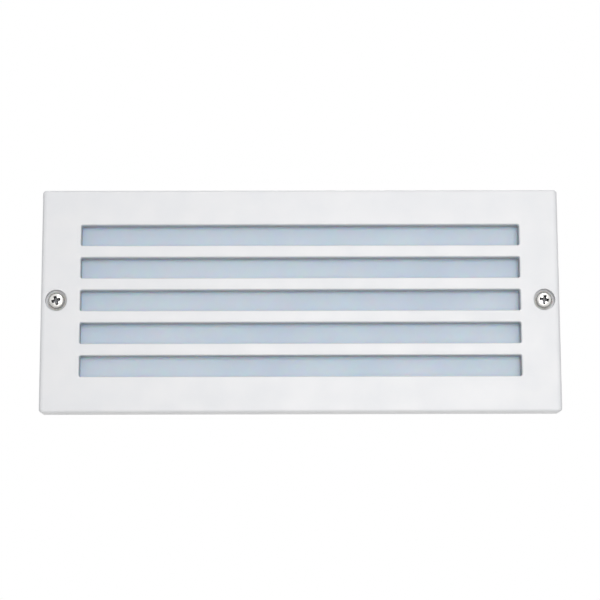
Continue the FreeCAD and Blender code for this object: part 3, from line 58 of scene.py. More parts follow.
def middle_of(node):
    """The middle of a frame piece's box, in metres."""
    low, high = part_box(node)
    return (low + high) / 2


# %% [markdown]
# ## The camera
# The photograph looks slightly up at the plate: its bottom edge is longer than its top edge.  The camera
# could be placed by eye, but the four corners of a plate of known size nearly fix its place.  So it was
# solved from them, and then nudged until the plate's edges lay where the photograph has them.
# It stands 0.88 m away and 142 mm below the middle, and looks at the middle of the front.

# %% Place the camera
PLATE_LOW, PLATE_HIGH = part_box("faceplate")
FRONT = PLATE_LOW.y  # the plate's face looks along -Y
EYE = Vector((-5.0 * MM, FRONT - 864.5 * MM, -141.7 * MM))
TARGET = Vector((-0.2 * MM, FRONT, -0.08 * MM))
ROLL = math.radians(-0.16)
LENS, SENSOR = 107.4, 36  # millimetres
NEAREST = 10 * MM  # nothing nearer than this is drawn

camera = bpy.data.objects.new("camera", bpy.data.cameras.new("camera"))
bpy.context.scene.collection.objects.link(camera)
camera.data.lens = LENS
camera.data.sensor_width = SENSOR
camera.data.clip_start = NEAREST
turn = (TARGET - EYE).to_track_quat("-Z", "Y").to_matrix() @ Matrix.Rotation(ROLL, 3, "Z")
camera.matrix_world = Matrix.Translation(EYE) @ turn.to_4x4()
bpy.context.scene.camera = camera
bpy.context.scene.view_settings.view_transform = "Standard"
print("camera to plate: %.0f mm" % ((TARGET - EYE).length / MM))

# %% [markdown]
# ## Helpers for materials
# Paint makers give colours as sRGB hex values, and a shader wants them linear, so one function turns
# them.  A material is a tree of nodes, so one function adds a node, its settings and its links in a
# single line.

# %% Colour and node helpers
def linear(hex_colour):
    """Turn an sRGB hex colour into linear red, green, blue and full opacity, by the sRGB standard's curve."""
    coded = np.array([int(hex_colour[start:start + 2], 16) for start in (1, 3, 5)]) / 255
    straight = np.where(coded <= 0.04045, coded / 12.92, ((coded + 0.055) / 1.055) ** 2.4)
    return (*straight.tolist(), 1.0)


def add(tree, kind, inputs=None, **settings):
    """Add a node; settings are its attributes, inputs are numbers, colours or sockets by name or number."""
    node = tree.nodes.new(kind)
    for name, value in settings.items():
        setattr(node, name, value)
    for name, value in (inputs or {}).items():
        if isinstance(value, bpy.types.NodeSocket):
            tree.links.new(value, node.inputs[name])
        else:
            node.inputs[name].default_value = value
    return node


print("middle grey #808080 is %.3f in linear light" % linear("#808080")[0])

# %% [markdown]
# ## A plain finish, and a second colour over it
# Every material here is one Principled shader, because it exports well.  Coordinates come from the
# object, so a pattern keeps its real size and stays in place on a piece that moves.  A finish that
# changes from place to place is a second colour laid over the first one where a mask says so.

# %% Finishes
MIX_FIRST, MIX_SECOND, MIXED = 6, 7, 2  # a Mix node's colour sockets, by number


def finish_named(name, **sockets):
    """A new material with one Principled shader: the material, its tree, the shader and coordinates."""
    material = bpy.data.materials.new(name)
    material.use_nodes = True
    tree = material.node_tree
    shader = tree.nodes["Principled BSDF"]
    for socket, value in sockets.items():
        shader.inputs[socket.replace("_", " ")].default_value = value
    place = add(tree, "ShaderNodeTexCoord").outputs["Object"]
    return material, tree, shader, place


def lay_over(tree, shader, share, hex_colour):
    """Mix a second colour into the shader's own, by a share from 0 to 1."""
    under = shader.inputs["Base Color"].links[0].from_socket
    mixed = add(tree, "ShaderNodeMix", {0: share, MIX_FIRST: under, MIX_SECOND: linear(hex_colour)},
                data_type="RGBA")
    tree.links.new(mixed.outputs[MIXED], shader.inputs["Base Color"])


print("colour sockets of a Mix node: in %d and %d, out %d" % (MIX_FIRST, MIX_SECOND, MIXED))

# %% [markdown]
# ## Light
# In the photograph the pane behind the louvres is lit evenly.  A lamp high above would shade it with the
# bars, so the main soft lamp stands level with the plate, in front and a little to the right.  A weaker
# lamp above leaves the undersides in shade, and one behind keeps the box from going dark when it is seen
# from the back.  The world adds an even grey light.  It is white where the camera looks at it, straight,
# in a mirror or through glass, and the object is still lit at a plain level.

# %% World and lamps
AMBIENT = 0.36  # strength of the world's light on the object
WHITE = (1, 1, 1, 1)


def looked_at(tree):
    """1 for a camera ray, a glossy ray or a transmission ray, and 0 for a ray that only carries light."""
    path = add(tree, "ShaderNodeLightPath").outputs
    seen = add(tree, "ShaderNodeMath", {0: path["Is Camera Ray"], 1: path["Is Glossy Ray"]},
               operation="MAXIMUM").outputs[0]
    return add(tree, "ShaderNodeMath", {0: seen, 1: path["Is Transmission Ray"]},
               operation="MAXIMUM").outputs[0]


def soft_lamp(name, place, width, watts):
    """A square area lamp at a place in metres, facing the middle of the plate."""
    lamp = bpy.data.objects.new(name, bpy.data.lights.new(name, "AREA"))
    lamp.data.size = width
    lamp.data.energy = watts
    aim = (TARGET - Vector(place)).to_track_quat("-Z", "Y")
    lamp.matrix_world = Matrix.Translation(place) @ aim.to_matrix().to_4x4()
    bpy.context.scene.collection.objects.link(lamp)
    print("%s lamp: %.1f m from the plate" % (name, (TARGET - Vector(place)).length))


world = bpy.data.worlds.new("white studio")
bpy.context.scene.world = world
world.use_nodes = True
tree = world.node_tree
level = add(tree, "ShaderNodeMapRange", {"Value": looked_at(tree), "To Min": AMBIENT, "To Max": 1.0})
background = tree.nodes["Background"]
background.inputs["Color"].default_value = WHITE
tree.links.new(level.outputs[0], background.inputs["Strength"])

soft_lamp("key", place=(0.12, -1.4, 0.08), width=0.5, watts=6.4)
soft_lamp("top", place=(0.25, -1.0, 0.9), width=0.8, watts=3.2)
soft_lamp("back", place=(0.4, 1.4, 0.7), width=1.0, watts=9)

# %% [markdown]
# ## Floor
# The ground is a plain pale floor a little below the light.  It should look almost white and still show
# the object's shadow.  Stronger lamps would wash out the object, so the floor gives off a little light
# of its own, which only the camera, mirrors and glass see.

# %% Floor
FLOOR_HEIGHT = -0.24  # metres from the middle of the plate
FLOOR_REACH = 2.5  # metres from the middle to each edge
FLOOR_LIFT = 0.26  # strength of the floor's own light

square = np.array([(-1, -1), (1, -1), (1, 1), (-1, 1)]) * FLOOR_REACH
mesh = bpy.data.meshes.new("floor")
mesh.from_pydata([(x, y, FLOOR_HEIGHT) for x, y in square], [], [(0, 1, 2, 3)])
floor = bpy.data.objects.new("floor", mesh)
bpy.context.scene.collection.objects.link(floor)
material, tree, shader, _ = finish_named("pale studio floor", Base_Color=linear("#F2F2F0"), Roughness=0.8,
                                         Emission_Color=WHITE)
lift = add(tree, "ShaderNodeMath", {0: looked_at(tree), 1: FLOOR_LIFT}, operation="MULTIPLY")
tree.links.new(lift.outputs[0], shader.inputs["Emission Strength"])
mesh.materials.append(material)
print("floor %.0f mm below the middle of the plate" % (-FLOOR_HEIGHT / MM))

# %% [markdown]
# ## What most finishes share
# Hardly any real surface is one flat colour.  A baked, cast or moulded skin has soft patches a few
# millimetres wide, where it is a touch darker and duller, and a fine grain that breaks up reflections.
# One function lays down these patterns from their real sizes.  Stretching the pattern along one axis
# gives drawn or rolled metal.

# %% Patches and grain
OCTAVES = 3.0  # how many finer layers each noise pattern has
CLOUD_LOW, CLOUD_HIGH = 0.3, 0.7  # noise seldom goes below or above these


def skin(name, light, dark, gloss, patch, grain, relief, stretch=(1, 1, 1), **sockets):
    """A finish with patches between two colours and two roughnesses, and a grain.

    Patch and grain are the widths of the pattern, and relief its height, all in millimetres."""
    material, tree, shader, place = finish_named(name, **sockets)
    spread = add(tree, "ShaderNodeMapping", {"Vector": place, "Scale": stretch}).outputs["Vector"]
    cloud = add(tree, "ShaderNodeTexNoise", {"Vector": spread, "Scale": 1 / (patch * MM), "Detail": OCTAVES})
    share = add(tree, "ShaderNodeMapRange", {"Value": cloud.outputs["Fac"], "From Min": CLOUD_LOW,
                                             "From Max": CLOUD_HIGH}).outputs[0]
    tint = add(tree, "ShaderNodeMix", {0: share, MIX_FIRST: linear(light), MIX_SECOND: linear(dark)},
               data_type="RGBA")
    tree.links.new(tint.outputs[MIXED], shader.inputs["Base Color"])
    dull = add(tree, "ShaderNodeMapRange", {"Value": share, "To Min": gloss[0], "To Max": gloss[1]})
    tree.links.new(dull.outputs[0], shader.inputs["Roughness"])
    speck = add(tree, "ShaderNodeTexNoise", {"Vector": spread, "Scale": 1 / (grain * MM), "Detail": OCTAVES})
    bump = add(tree, "ShaderNodeBump", {"Height": speck.outputs["Fac"], "Distance": relief * MM,
                                        "Strength": 1.0})
    tree.links.new(bump.outputs["Normal"], shader.inputs["Normal"])
    return material, tree, shader, place


print("a pattern 1 mm wide has a noise scale of %.0f" % (1 / MM))

# %% [markdown]
# ## Powder-coated faceplate
# The faceplate is a casting under white polyester powder.  The powder melts in an oven and levels out,
# but never quite: it keeps a faint swell about a millimetre wide, like the peel of an orange, which
# softens its gloss.

# %% Powder coat
powder_coat, tree, shader, place = skin("white polyester powder coat", "#ECECEE", "#E8E9EC", (0.36, 0.42),
                                        patch=14, grain=1.1, relief=0.010)
print("powder coat: %d nodes" % len(tree.nodes))

# %% [markdown]
# ## Painted shade in the slots and recesses
# The inner faces of the slots and of the recesses round the face screws get a darker grey over the white,
# as painted shade for the shade deep in a narrow opening.  The mask could be painted by hand, but the
# slots and the screws are boxes at known places, so comparing coordinates is enough.  A little of the
# same grey lies along the face's two upright edges, as painted shade on their rounding.

# %% Painted shade in the slots and recesses and along the edges
SHADE_GREY = "#9C9FA5"  # grey of the painted shade
SLOT_SHARE, SCREW_SHARE, EDGE_SHARE = 0.85, 0.3, 0.3  # how strong the painted shade is in each place
SHADE_FROM, SHADE_TO = FRONT + 0.6 * MM, FRONT + 4 * MM  # depths where the painted shade starts and where it is full
RECESS_REACH = 5.5 * MM  # from a screw's middle to just outside its recess
EDGE_REACH = 2.4 * MM  # how far from an upright edge the painted shade reaches
lens_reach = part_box("glass_lens")[1]
screw_middle = middle_of("face_screw_right")


def within(tree, place, middle, reach):
    """1 where |x| and |z| both lie within reach of a middle, and 0 elsewhere: a box and its mirror images."""
    mirrored = add(tree, "ShaderNodeVectorMath", {0: place}, operation="ABSOLUTE").outputs[0]
    off = add(tree, "ShaderNodeVectorMath", {0: mirrored, 1: middle}, operation="SUBTRACT").outputs[0]
    off = add(tree, "ShaderNodeVectorMath", {0: off}, operation="ABSOLUTE").outputs[0]
    off = add(tree, "ShaderNodeSeparateXYZ", {"Vector": off}).outputs
    across = add(tree, "ShaderNodeMath", {0: off["X"], 1: reach[0]}, operation="LESS_THAN").outputs[0]
    up = add(tree, "ShaderNodeMath", {0: off["Z"], 1: reach[1]}, operation="LESS_THAN").outputs[0]
    return add(tree, "ShaderNodeMath", {0: across, 1: up}, operation="MULTIPLY").outputs[0]


slots_here = within(tree, place, (0, 0, 0), (lens_reach.x, lens_reach.z))
screws_here = within(tree, place, (screw_middle.x, 0, 0), (RECESS_REACH, RECESS_REACH))
slots_here = add(tree, "ShaderNodeMath", {0: slots_here, 1: SLOT_SHARE}, operation="MULTIPLY").outputs[0]
screws_here = add(tree, "ShaderNodeMath", {0: screws_here, 1: SCREW_SHARE}, operation="MULTIPLY").outputs[0]
openings = add(tree, "ShaderNodeMath", {0: slots_here, 1: screws_here}, operation="MAXIMUM").outputs[0]
axes = add(tree, "ShaderNodeSeparateXYZ", {"Vector": place}).outputs
deep = add(tree, "ShaderNodeMapRange", {"Value": axes["Y"], "From Min": SHADE_FROM, "From Max": SHADE_TO})
painted_shade = add(tree, "ShaderNodeMath", {0: openings, 1: deep.outputs[0]}, operation="MULTIPLY").outputs[0]
aside = add(tree, "ShaderNodeMath", {0: axes["X"]}, operation="ABSOLUTE").outputs[0]
outward = add(tree, "ShaderNodeMapRange", {"Value": aside, "From Min": PLATE_HIGH.x - EDGE_REACH,
                                           "From Max": PLATE_HIGH.x, "To Max": EDGE_SHARE}).outputs[0]
forward = add(tree, "ShaderNodeMapRange", {"Value": axes["Y"], "From Min": FRONT + EDGE_REACH / 2,
                                           "From Max": FRONT + EDGE_REACH, "To Min": 1.0, "To Max": 0.0})
edges = add(tree, "ShaderNodeMath", {0: outward, 1: forward.outputs[0]}, operation="MULTIPLY").outputs[0]
painted_shade = add(tree, "ShaderNodeMath", {0: painted_shade, 1: edges}, operation="MAXIMUM").outputs[0]
# painted shade: a darker grey in the slots, the screw recesses and along the upright edges
lay_over(tree, shader, painted_shade, SHADE_GREY)
# the reach printed here is that of the painted shade
print("thin coat up to %.0f mm from the middle" % (lens_reach.x / MM))

# %% [markdown]
# ## Bare casting
# The box behind the plate is the same metal with no paint: grey, matt and grainy from the mould.

# %% Bare casting
casting = skin("die-cast aluminium, unpainted", "#B6B8BB", "#AFB1B5", (0.47, 0.51), patch=15, grain=0.45,
               relief=0.035, Metallic=1.0)[0]
print("%s: %d nodes" % (casting.name, len(casting.node_tree.nodes)))

# %% [markdown]
# ## Acid-frosted glass
# Float glass is a little green or blue, and an acid bath etches its face into pits far too fine to see.
# They scatter light, so the pane looks like pale paper that glows a little from behind.  A clear glass
# shader with high roughness would show the dark box behind it, so most of the light is returned by the
# surface itself.  Its grain is drawn far coarser than the pits, and very low.

# %% Frosted glass
frosted_glass = skin("acid-frosted float glass", "#E0EBF8", "#D8E5F4", (0.42, 0.5), patch=40, grain=0.3,
                     relief=0.006, IOR=1.52, Transmission_Weight=0.08, Subsurface_Weight=0.6,
                     Subsurface_Scale=4 * MM)[0]
print("%s: %d nodes" % (frosted_glass.name, len(frosted_glass.node_tree.nodes)))

# %% [markdown]
# ## Metals of the screws
# A screw's recess is punched cold, and it is painted darker than the head round it: painted shade for the
# shade deep in the recess.  The shape of the screw knows where that is, and tells the material through an
# attribute.
# Cold-headed stainless steel is pale, slightly warm and glossy, zinc plate is bluish with a dull bloom,
# and turned brass is yellow.

# %% Screw metals
# grey of the painted shade in a screw's recess
RECESS_SHADE = "#636468"
SHADE_FULL_DEPTH, RECESS_SHADE_SHARE = 0.35, 0.9  # the share of the depth where it is darkest, and how dark it gets


def screw_metal(name, light, dark, gloss, **settings):
    """A metal with painted shade where an attribute says that its surface lies in a punched recess."""
    material, tree, shader, _ = skin(name, light, dark, gloss, **settings)
    punched = add(tree, "ShaderNodeAttribute", attribute_name="punched").outputs["Fac"]
    share = add(tree, "ShaderNodeMapRange", {"Value": punched, "From Max": SHADE_FULL_DEPTH,
                                             "To Max": RECESS_SHADE_SHARE}).outputs[0]
    # painted shade, darkest deep in the recess
    lay_over(tree, shader, share, RECESS_SHADE)
    return material


stainless = screw_metal("cold-headed stainless steel", "#E2E1DE", "#CFCDCA", (0.2, 0.3), patch=1.2,
                        grain=0.25, relief=0.004, Metallic=1.0)
zinc_plate = screw_metal("zinc-plated steel", "#C3C8CE", "#A9AFB8", (0.24, 0.4), patch=3, grain=0.5,
                         relief=0.005, Metallic=1.0)
brass = screw_metal("turned brass", "#D2AE63", "#B9934A", (0.2, 0.32), patch=2, grain=0.3, relief=0.003,
                    Metallic=1.0)
print("screw metals: %s, %s, %s" % (stainless.name, zinc_plate.name, brass.name))

# %% [markdown]
# ## Rolled and plated sheet
# Rolling leaves faint lines along the sheet, so the pattern is stretched that way.  Spring steel is dark
# and dull from its heat treatment, the reflector's aluminium is bright, and nickel plate on the lamp's
# thin cap is a warm white.

# %% Sheet metals
spring_steel = skin("rolled spring steel", "#A3A5A9", "#8B8D92", (0.28, 0.38), patch=2.5, grain=0.3,
                    relief=0.004, stretch=(0.08, 1, 1), Metallic=1.0)[0]
rolled_aluminium = skin("bright rolled aluminium sheet", "#E3E5E7", "#D6D9DC", (0.13, 0.2), patch=5,
                        grain=0.5, relief=0.003, stretch=(0.03, 1, 1), Metallic=1.0)[0]
nickel_plate = skin("nickel-plated brass", "#D3CEC4", "#C0BAAF", (0.14, 0.24), patch=2.5, grain=0.4,
                    relief=0.003, Metallic=1.0)[0]
print("sheet metals: %s, %s, %s" % (spring_steel.name, rolled_aluminium.name, nickel_plate.name))

# %% [markdown]
# ## Porcelain and black glass
# The lampholder is porcelain with a thick glossy glaze that has faint waves, so it gets a clear coat.
# The ring of insulation at the foot of the lamp's cap is black glass, melted in place and smooth.

# %% Porcelain and black glass
porcelain = skin("glazed porcelain", "#F0EEE8", "#E8E5DC", (0.08, 0.13), patch=9, grain=3, relief=0.02,
                 Coat_Weight=0.4)[0]
black_glass = skin("black vitreous insulator", "#1B1C20", "#121317", (0.12, 0.2), patch=3, grain=0.8,
                   relief=0.006)[0]
print("glossy insulators: %s, %s" % (porcelain.name, black_glass.name))

# %% [markdown]
# ## Plastics and rubber
# A plastic part copies the surface of its mould, here a fine spark-eroded one, so it is matt or satin.
# Opal plastic and nylon let light in a little way before they send it back, which a subsurface share
# over about a millimetre gives.  The nylon washers sit outdoors and have gone grey.  Silicone rubber is
# the dullest of all.

# %% Plastics and rubber
white_plastic = skin("moulded white polycarbonate", "#EEEEEB", "#E7E7E4", (0.38, 0.46), patch=8, grain=0.25,
                     relief=0.008)[0]
opal_plastic = skin("opal polycarbonate", "#F4F3EE", "#EDECE6", (0.3, 0.36), patch=12, grain=0.6,
                    relief=0.003, Subsurface_Weight=0.25, Subsurface_Scale=1.5 * MM)[0]
natural_nylon = skin("weathered natural nylon", "#CCCBC7", "#C1C0BD", (0.36, 0.46), patch=2, grain=0.3,
                     relief=0.004, Subsurface_Weight=0.15, Subsurface_Scale=0.8 * MM)[0]
block_plastic = skin("moulded polyamide", "#DDDFDE", "#D2D5D4", (0.4, 0.5), patch=5, grain=0.3,
                     relief=0.006)[0]
silicone = skin("moulded silicone rubber", "#C9CBCD", "#BCBFC2", (0.55, 0.68), patch=5, grain=0.35,
                relief=0.008)[0]
print("moulded: %s, %s, %s" % (white_plastic.name, opal_plastic.name, silicone.name))

# %% [markdown]
# ## The lamp's boards
# A circuit board is glass cloth and resin under a printed lacquer, the solder mask: white on the board
# that carries the light sources, to throw light forwards, and green on the driver board.  A light source
# is a drop of clear resin over yellow phosphor, so it is yellow while the lamp is off.

# %% Boards and light sources
solder_mask_white = skin("white solder mask", "#E6E8E4", "#DCDED9", (0.28, 0.36), patch=4, grain=0.4,
                         relief=0.003)[0]
solder_mask_green = skin("green solder mask", "#1F7040", "#175A33", (0.25, 0.35), patch=3, grain=0.5,
                         relief=0.006)[0]
phosphor = skin("clear resin over phosphor", "#F2D24C", "#E3BC36", (0.15, 0.25), patch=0.8, grain=0.12,
                relief=0.003)[0]
print("boards: %s, %s" % (solder_mask_white.name, solder_mask_green.name))

# %% [markdown]
# ## Lead insulation
# Fixed wiring is coded: brown is live, blue is neutral, and green with a yellow stripe is earth.  The
# stripe is extruded along the wire on two opposite sides.  The earth lead here lies in one plane
# parallel to the wall, so its two stripes are simply the parts of its surface that lie furthest from
# that plane.

# %% Lead insulation
STRIPE_START = 0.7  # share of the lead's radius where the stripe starts
STRIPE = "#E9D23B"
VINYL = {"gloss": (0.36, 0.46), "patch": 4, "grain": 0.4, "relief": 0.006}
brown_vinyl = skin("brown soft vinyl", "#5F3A27", "#52301F", **VINYL)[0]
blue_vinyl = skin("blue soft vinyl", "#2A62AE", "#225598", **VINYL)[0]
green_vinyl, tree, shader, place = skin("green soft vinyl with a yellow stripe", "#2F8A3C", "#277A33",
                                        **VINYL)

lead_low, lead_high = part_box("earth_lead")
lead_plane = (lead_low.y + lead_high.y) / 2
stripe_edge = STRIPE_START * (lead_high.y - lead_low.y) / 2
depth = add(tree, "ShaderNodeSeparateXYZ", {"Vector": place}).outputs["Y"]
depth = add(tree, "ShaderNodeMath", {0: depth, 1: lead_plane}, operation="SUBTRACT").outputs[0]
depth = add(tree, "ShaderNodeMath", {0: depth}, operation="ABSOLUTE").outputs[0]
stripe = add(tree, "ShaderNodeMath", {0: depth, 1: stripe_edge}, operation="GREATER_THAN").outputs[0]
lay_over(tree, shader, stripe, STRIPE)
print("stripe starts %.2f mm from the lead's middle plane" % (stripe_edge / MM))

# %% [markdown]
# ## Every frame piece gets its finish
# The frame's record already says which slot each piece belongs to, so a slot is matched to a finish
# once, and a loop hands the finishes out.

# %% Hand out the finishes
FINISHES = {
    "powder_coat": powder_coat, "cast_aluminium": casting, "frosted_glass": frosted_glass,
    "silicone": silicone, "stainless": stainless, "spring_steel": spring_steel, "zinc_steel": zinc_plate,
    "bright_aluminium": rolled_aluminium, "porcelain": porcelain, "brass": brass,
    "nickel_plate": nickel_plate, "black_plastic": black_glass, "white_plastic": white_plastic,
    "opal_plastic": opal_plastic, "circuit_board": solder_mask_white, "driver_board": solder_mask_green,
    "phosphor": phosphor, "natural_nylon": natural_nylon, "block_plastic": block_plastic,
    "brown_lead": brown_vinyl, "blue_lead": blue_vinyl, "green_yellow_lead": green_vinyl,
}
slots = {part["node"]: part["material_slot"] for part in frame["record"]["subparts"]}
for node, piece in frame["nodes"].items():
    for material_slot in piece.material_slots:
        material_slot.material = FINISHES[slots[node]]
print("%d pieces in %d finishes" % (len(slots), len(set(slots.values()))))

# %% [markdown]
# ## From a grid of points to faces
# Screws, threads and washers are all turned round an axis, so each is a grid: rows run along the profile
# and columns run round the axis.  The last column meets the first.  A solid piece closes its first and
# last row with a point on the axis, and a ring's last row meets its first row instead.  A closed surface
# whose faces point outwards has a positive volume, so the sign of the volume tells whether to turn the
# faces round.

# %% Faces and volume of a grid
def grid_faces(rows, columns, ring):
    """Corner numbers of the faces of a grid that closes round its columns, and for a ring round its rows."""
    row, column = np.meshgrid(np.arange(rows if ring else rows - 1), np.arange(columns), indexing="ij")
    next_row, next_column = (row + 1) % rows, (column + 1) % columns
    corners = (row * columns + column, row * columns + next_column,
               next_row * columns + next_column, next_row * columns + column)
    squares = np.stack(corners, -1).reshape(-1, 4)
    if ring:
        return squares, np.zeros((0, 3), int)
    here = np.arange(columns)
    there = (here + 1) % columns
    last = (rows - 1) * columns
    first_fan = np.stack((np.full(columns, rows * columns), there, here), -1)
    last_fan = np.stack((np.full(columns, rows * columns + 1), last + here, last + there), -1)
    return squares, np.concatenate((first_fan, last_fan))


def volume(points, squares, triangles):
    """Volume inside the faces: the sum over triangles of corner . (corner x corner), over 6."""
    halves = np.concatenate((squares[:, [0, 1, 2]], squares[:, [0, 2, 3]], triangles))
    first, second, third = points[halves[:, 0]], points[halves[:, 1]], points[halves[:, 2]]
    return np.einsum("ij,ij->i", first, np.cross(second, third)).sum() / 6


squares, fans = grid_faces(3, 8, ring=False)
print("a grid of 3 rows and 8 columns: %d squares and %d triangles" % (len(squares), len(fans)))

# %% [markdown]
# ## To its place
# Each shape is worked out upright, along its own z axis and in millimetres, because that is how a
# drawing gives it.  A piece's place goes into its mesh, so its points are spun, turned to where the
# piece faces and moved, all as one array.

# %% Facings
FACINGS = {  # where a piece's own x, y and z axes point once it is in place
    "front": ((1, 0, 0), (0, 0, 1), (0, -1, 0)),
    "back": ((1, 0, 0), (0, 0, -1), (0, 1, 0)),
    "right": ((0, 1, 0), (0, 0, 1), (1, 0, 0)),
    "left": ((0, 1, 0), (0, 0, -1), (-1, 0, 0)),
}


def turned(radii, angle, heights):
    """Points of a surface of revolution: radius x cosine, radius x sine and height of each row and angle."""
    return np.stack((radii * np.cos(angle), radii * np.sin(angle), heights + 0 * radii * angle), -1)


def carry(grid, facing, origin, spin=0.0):
    """Spin a grid in millimetres about its z axis, turn that axis to its facing, and move it to its place."""
    cosine, sine = math.cos(spin), math.sin(spin)
    spun = grid @ np.array(((cosine, sine, 0), (-sine, cosine, 0), (0, 0, 1)))
    return spun @ np.array(FACINGS[facing]) * MM + np.array(origin)


print("%d ways to face" % len(FACINGS))

# %% [markdown]
# ## One piece for one frame piece
# A new piece stands for a frame piece of nearly the same shape, so it takes over that piece's body, slot
# and finish.  Smooth shading rounds what the grid only samples, and edges sharper than a limit stay
# crisp.

# %% Make a piece
CREASE = math.radians(32)  # an edge that turns more than this stays sharp


def make_piece(node, grids, ring=False, punched=None):
    """One mesh from a few closed grids; it takes the place, body, slot and finish of a frame piece.

    Punched tells for each point of a grid how deep in a punched recess it lies, from 0 to 1."""
    points, faces, shades, count = [], [], [], 0
    for grid in grids:
        rows, columns, _ = grid.shape
        squares, triangles = grid_faces(rows, columns, ring)
        flat = grid.reshape(-1, 3)
        shade = np.zeros((rows, columns)) if punched is None else punched
        shades.append(shade.reshape(-1))
        if not ring:
            flat = np.concatenate((flat, grid[:1].mean(1), grid[-1:].mean(1)))
            shades.append((shade[0].mean(), shade[-1].mean()))
        if volume(flat, squares, triangles) < 0:
            squares, triangles = squares[:, ::-1], triangles[:, ::-1]
        points.append(flat)
        faces += (squares + count).tolist() + (triangles + count).tolist()
        count += len(flat)
    mesh = bpy.data.meshes.new(node + "_turned")
    mesh.from_pydata(np.concatenate(points), [], faces)
    mesh.polygons.foreach_set("use_smooth", np.ones(len(mesh.polygons), bool))
    mesh.set_sharp_from_angle(angle=CREASE)
    mesh.attributes.new("punched", "FLOAT", "POINT").data.foreach_set("value", np.concatenate(shades))
    mesh.materials.append(FINISHES[slots[node]])
    piece = bpy.data.objects.new(node + "_turned", mesh)
    bpy.context.scene.collection.objects.link(piece)
    body = next(name for name, nodes in frame["record"]["behaviour"]["bodies"].items() if node in nodes)
    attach(piece, body)
    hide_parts(node)
    print("%s: %d faces on %s" % (piece.name, len(faces), body))


print("edges over %.0f degrees stay sharp" % math.degrees(CREASE))

# %% [markdown]
# ## A punched cross recess
# A cross recess is pressed into the cold head by a tapered punch, so its arms have steep sides and
# sloping ends and get shallower away from the middle.  It could be cut with a boolean, but as a depth
# over x and y it is one short formula and the faces stay even.

# %% Cross recess
RECESS_SIDE_SLOPE = 7  # depth per width of the recess's steep sides
RECESS_END_SLOPE = 2  # depth per length of its sloping ends
RECESS_CONE = 0.8  # how much shallower its floor is a whole span from the middle


def cross_recess(x, y, span, arm, depth):
    """Depth of the recess: the least of the way in from an arm's side, from its end, and a cone's floor."""
    along, across = np.maximum(abs(x), abs(y)), np.minimum(abs(x), abs(y))
    from_side = (arm / 2 - across) * RECESS_SIDE_SLOPE
    from_end = (span / 2 - along) * RECESS_END_SLOPE
    floor = depth * (1 - RECESS_CONE * np.hypot(x, y) / span)
    return np.clip(np.minimum(np.minimum(from_side, from_end), floor), 0, None)


M4_RECESS = (4.6, 1.55, 2.3)  # span, width of an arm and depth
print("recess at its middle: %.1f mm deep" % cross_recess(0, 0, *M4_RECESS))

# %% [markdown]
# ## A thread
# A thread is a ridge wound round the shank: at any point its height depends on how far along the axis
# and how far round it lies.  It fades out under the head, where the rolling dies could not reach, and
# the shank ends in a chamfer that helps it find its hole.

# %% Thread
THREAD_DEPTH = 0.61  # of the pitch, as in every metric thread
FLANK_GAIN, ROOT_SHIFT = 1.3, 0.15  # they clip a triangle wave into flat crests and roots
RUN_OUT = 0.5  # pitches from the start before the thread sets in
CHAMFER = 0.75  # of the pitch


def ridge(height, angle, pitch):
    """1 on a right-hand thread's crest, 0 in its root: a clipped triangle wave of height and angle."""
    wave = abs(2 * ((height / pitch - angle / math.tau) % 1) - 1)
    return np.clip(FLANK_GAIN * wave - ROOT_SHIFT, 0, 1)


def threaded(radius, height, angle, pitch, start, end):
    """Radius of a threaded shank from height start down to end, with a run-out above and a chamfer below."""
    depth = THREAD_DEPTH * pitch * np.clip((start - height) / pitch - RUN_OUT, 0, 1)
    cut = radius - depth * (1 - ridge(height, angle, pitch))
    return np.minimum(cut, radius - CHAMFER * pitch + (height - end))


M4_PITCH = 0.7
print("an M4 thread is %.2f mm deep" % (THREAD_DEPTH * M4_PITCH))

# %% [markdown]
# ## The two face screws
# A pan head is a flat dome with rounded rims.  Its outline is a squared-off circle: nearly flat across
# most of the head, then round down to the rim.  Each screw came to rest at another angle, as real ones
# do.

# %% Face screws
HEAD_SQUARENESS = 4  # power of the head's outline: 2 is round, large is square
HEAD_POLE = 0.02  # share of the radius of the first row, which a point closes
HEAD_FLAT = 0.8  # share of the radius up to which rows are evenly spaced
FLAT_ROWS, RIM_ROWS, ROWS_PER_TURN = 44, 14, 12


def pan_screw(columns, head, shank, recess):
    """A screw in millimetres, head up, and how deep in its recess each point lies.

    Head is radius and height, shank is radius, length and pitch.  Rows run over the head, under its rim and
    down the shank.  The head's outline is height x (1 - (r / radius)^4)^(1/4), less the recess."""
    head_radius, head_height = head
    radius, length, pitch = shank
    angle = np.linspace(0, math.tau, columns, endpoint=False)
    inner = np.linspace(HEAD_POLE, HEAD_FLAT, FLAT_ROWS)
    swing = np.linspace(math.asin(HEAD_FLAT ** 2), math.pi / 2, RIM_ROWS)[1:]
    share = np.concatenate((inner, np.sqrt(np.sin(swing))))[:, None]
    top = head_height * (1 - np.minimum(share, 1) ** HEAD_SQUARENESS) ** (1 / HEAD_SQUARENESS)
    x, y = head_radius * share * np.cos(angle), head_radius * share * np.sin(angle)
    cut = cross_recess(x, y, *recess)
    head_rows = np.stack((x, y, top - cut), -1)
    height = np.linspace(0, -length, int(length / pitch * ROWS_PER_TURN))[:, None]
    around = threaded(radius, height, angle, pitch, 0, -length)
    punched = np.concatenate((cut / recess[2], 0 * around))
    return np.concatenate((head_rows, turned(around, angle, height))), punched


M4_HEAD, FACE_SHANK = (4, 2.8), (2, 16, M4_PITCH)
FACE_COLUMNS = 192
LAST_SPIN = {"left": 18, "right": -10}  # degrees: how each screw came to rest
grid, punched = pan_screw(FACE_COLUMNS, M4_HEAD, FACE_SHANK, M4_RECESS)
for side, spin in LAST_SPIN.items():
    node = "face_screw_" + side
    seat = middle_of(node)
    seat.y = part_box(node)[1].y - FACE_SHANK[1] * MM
    make_piece(node, [carry(grid, "front", seat, math.radians(spin))], punched=punched)

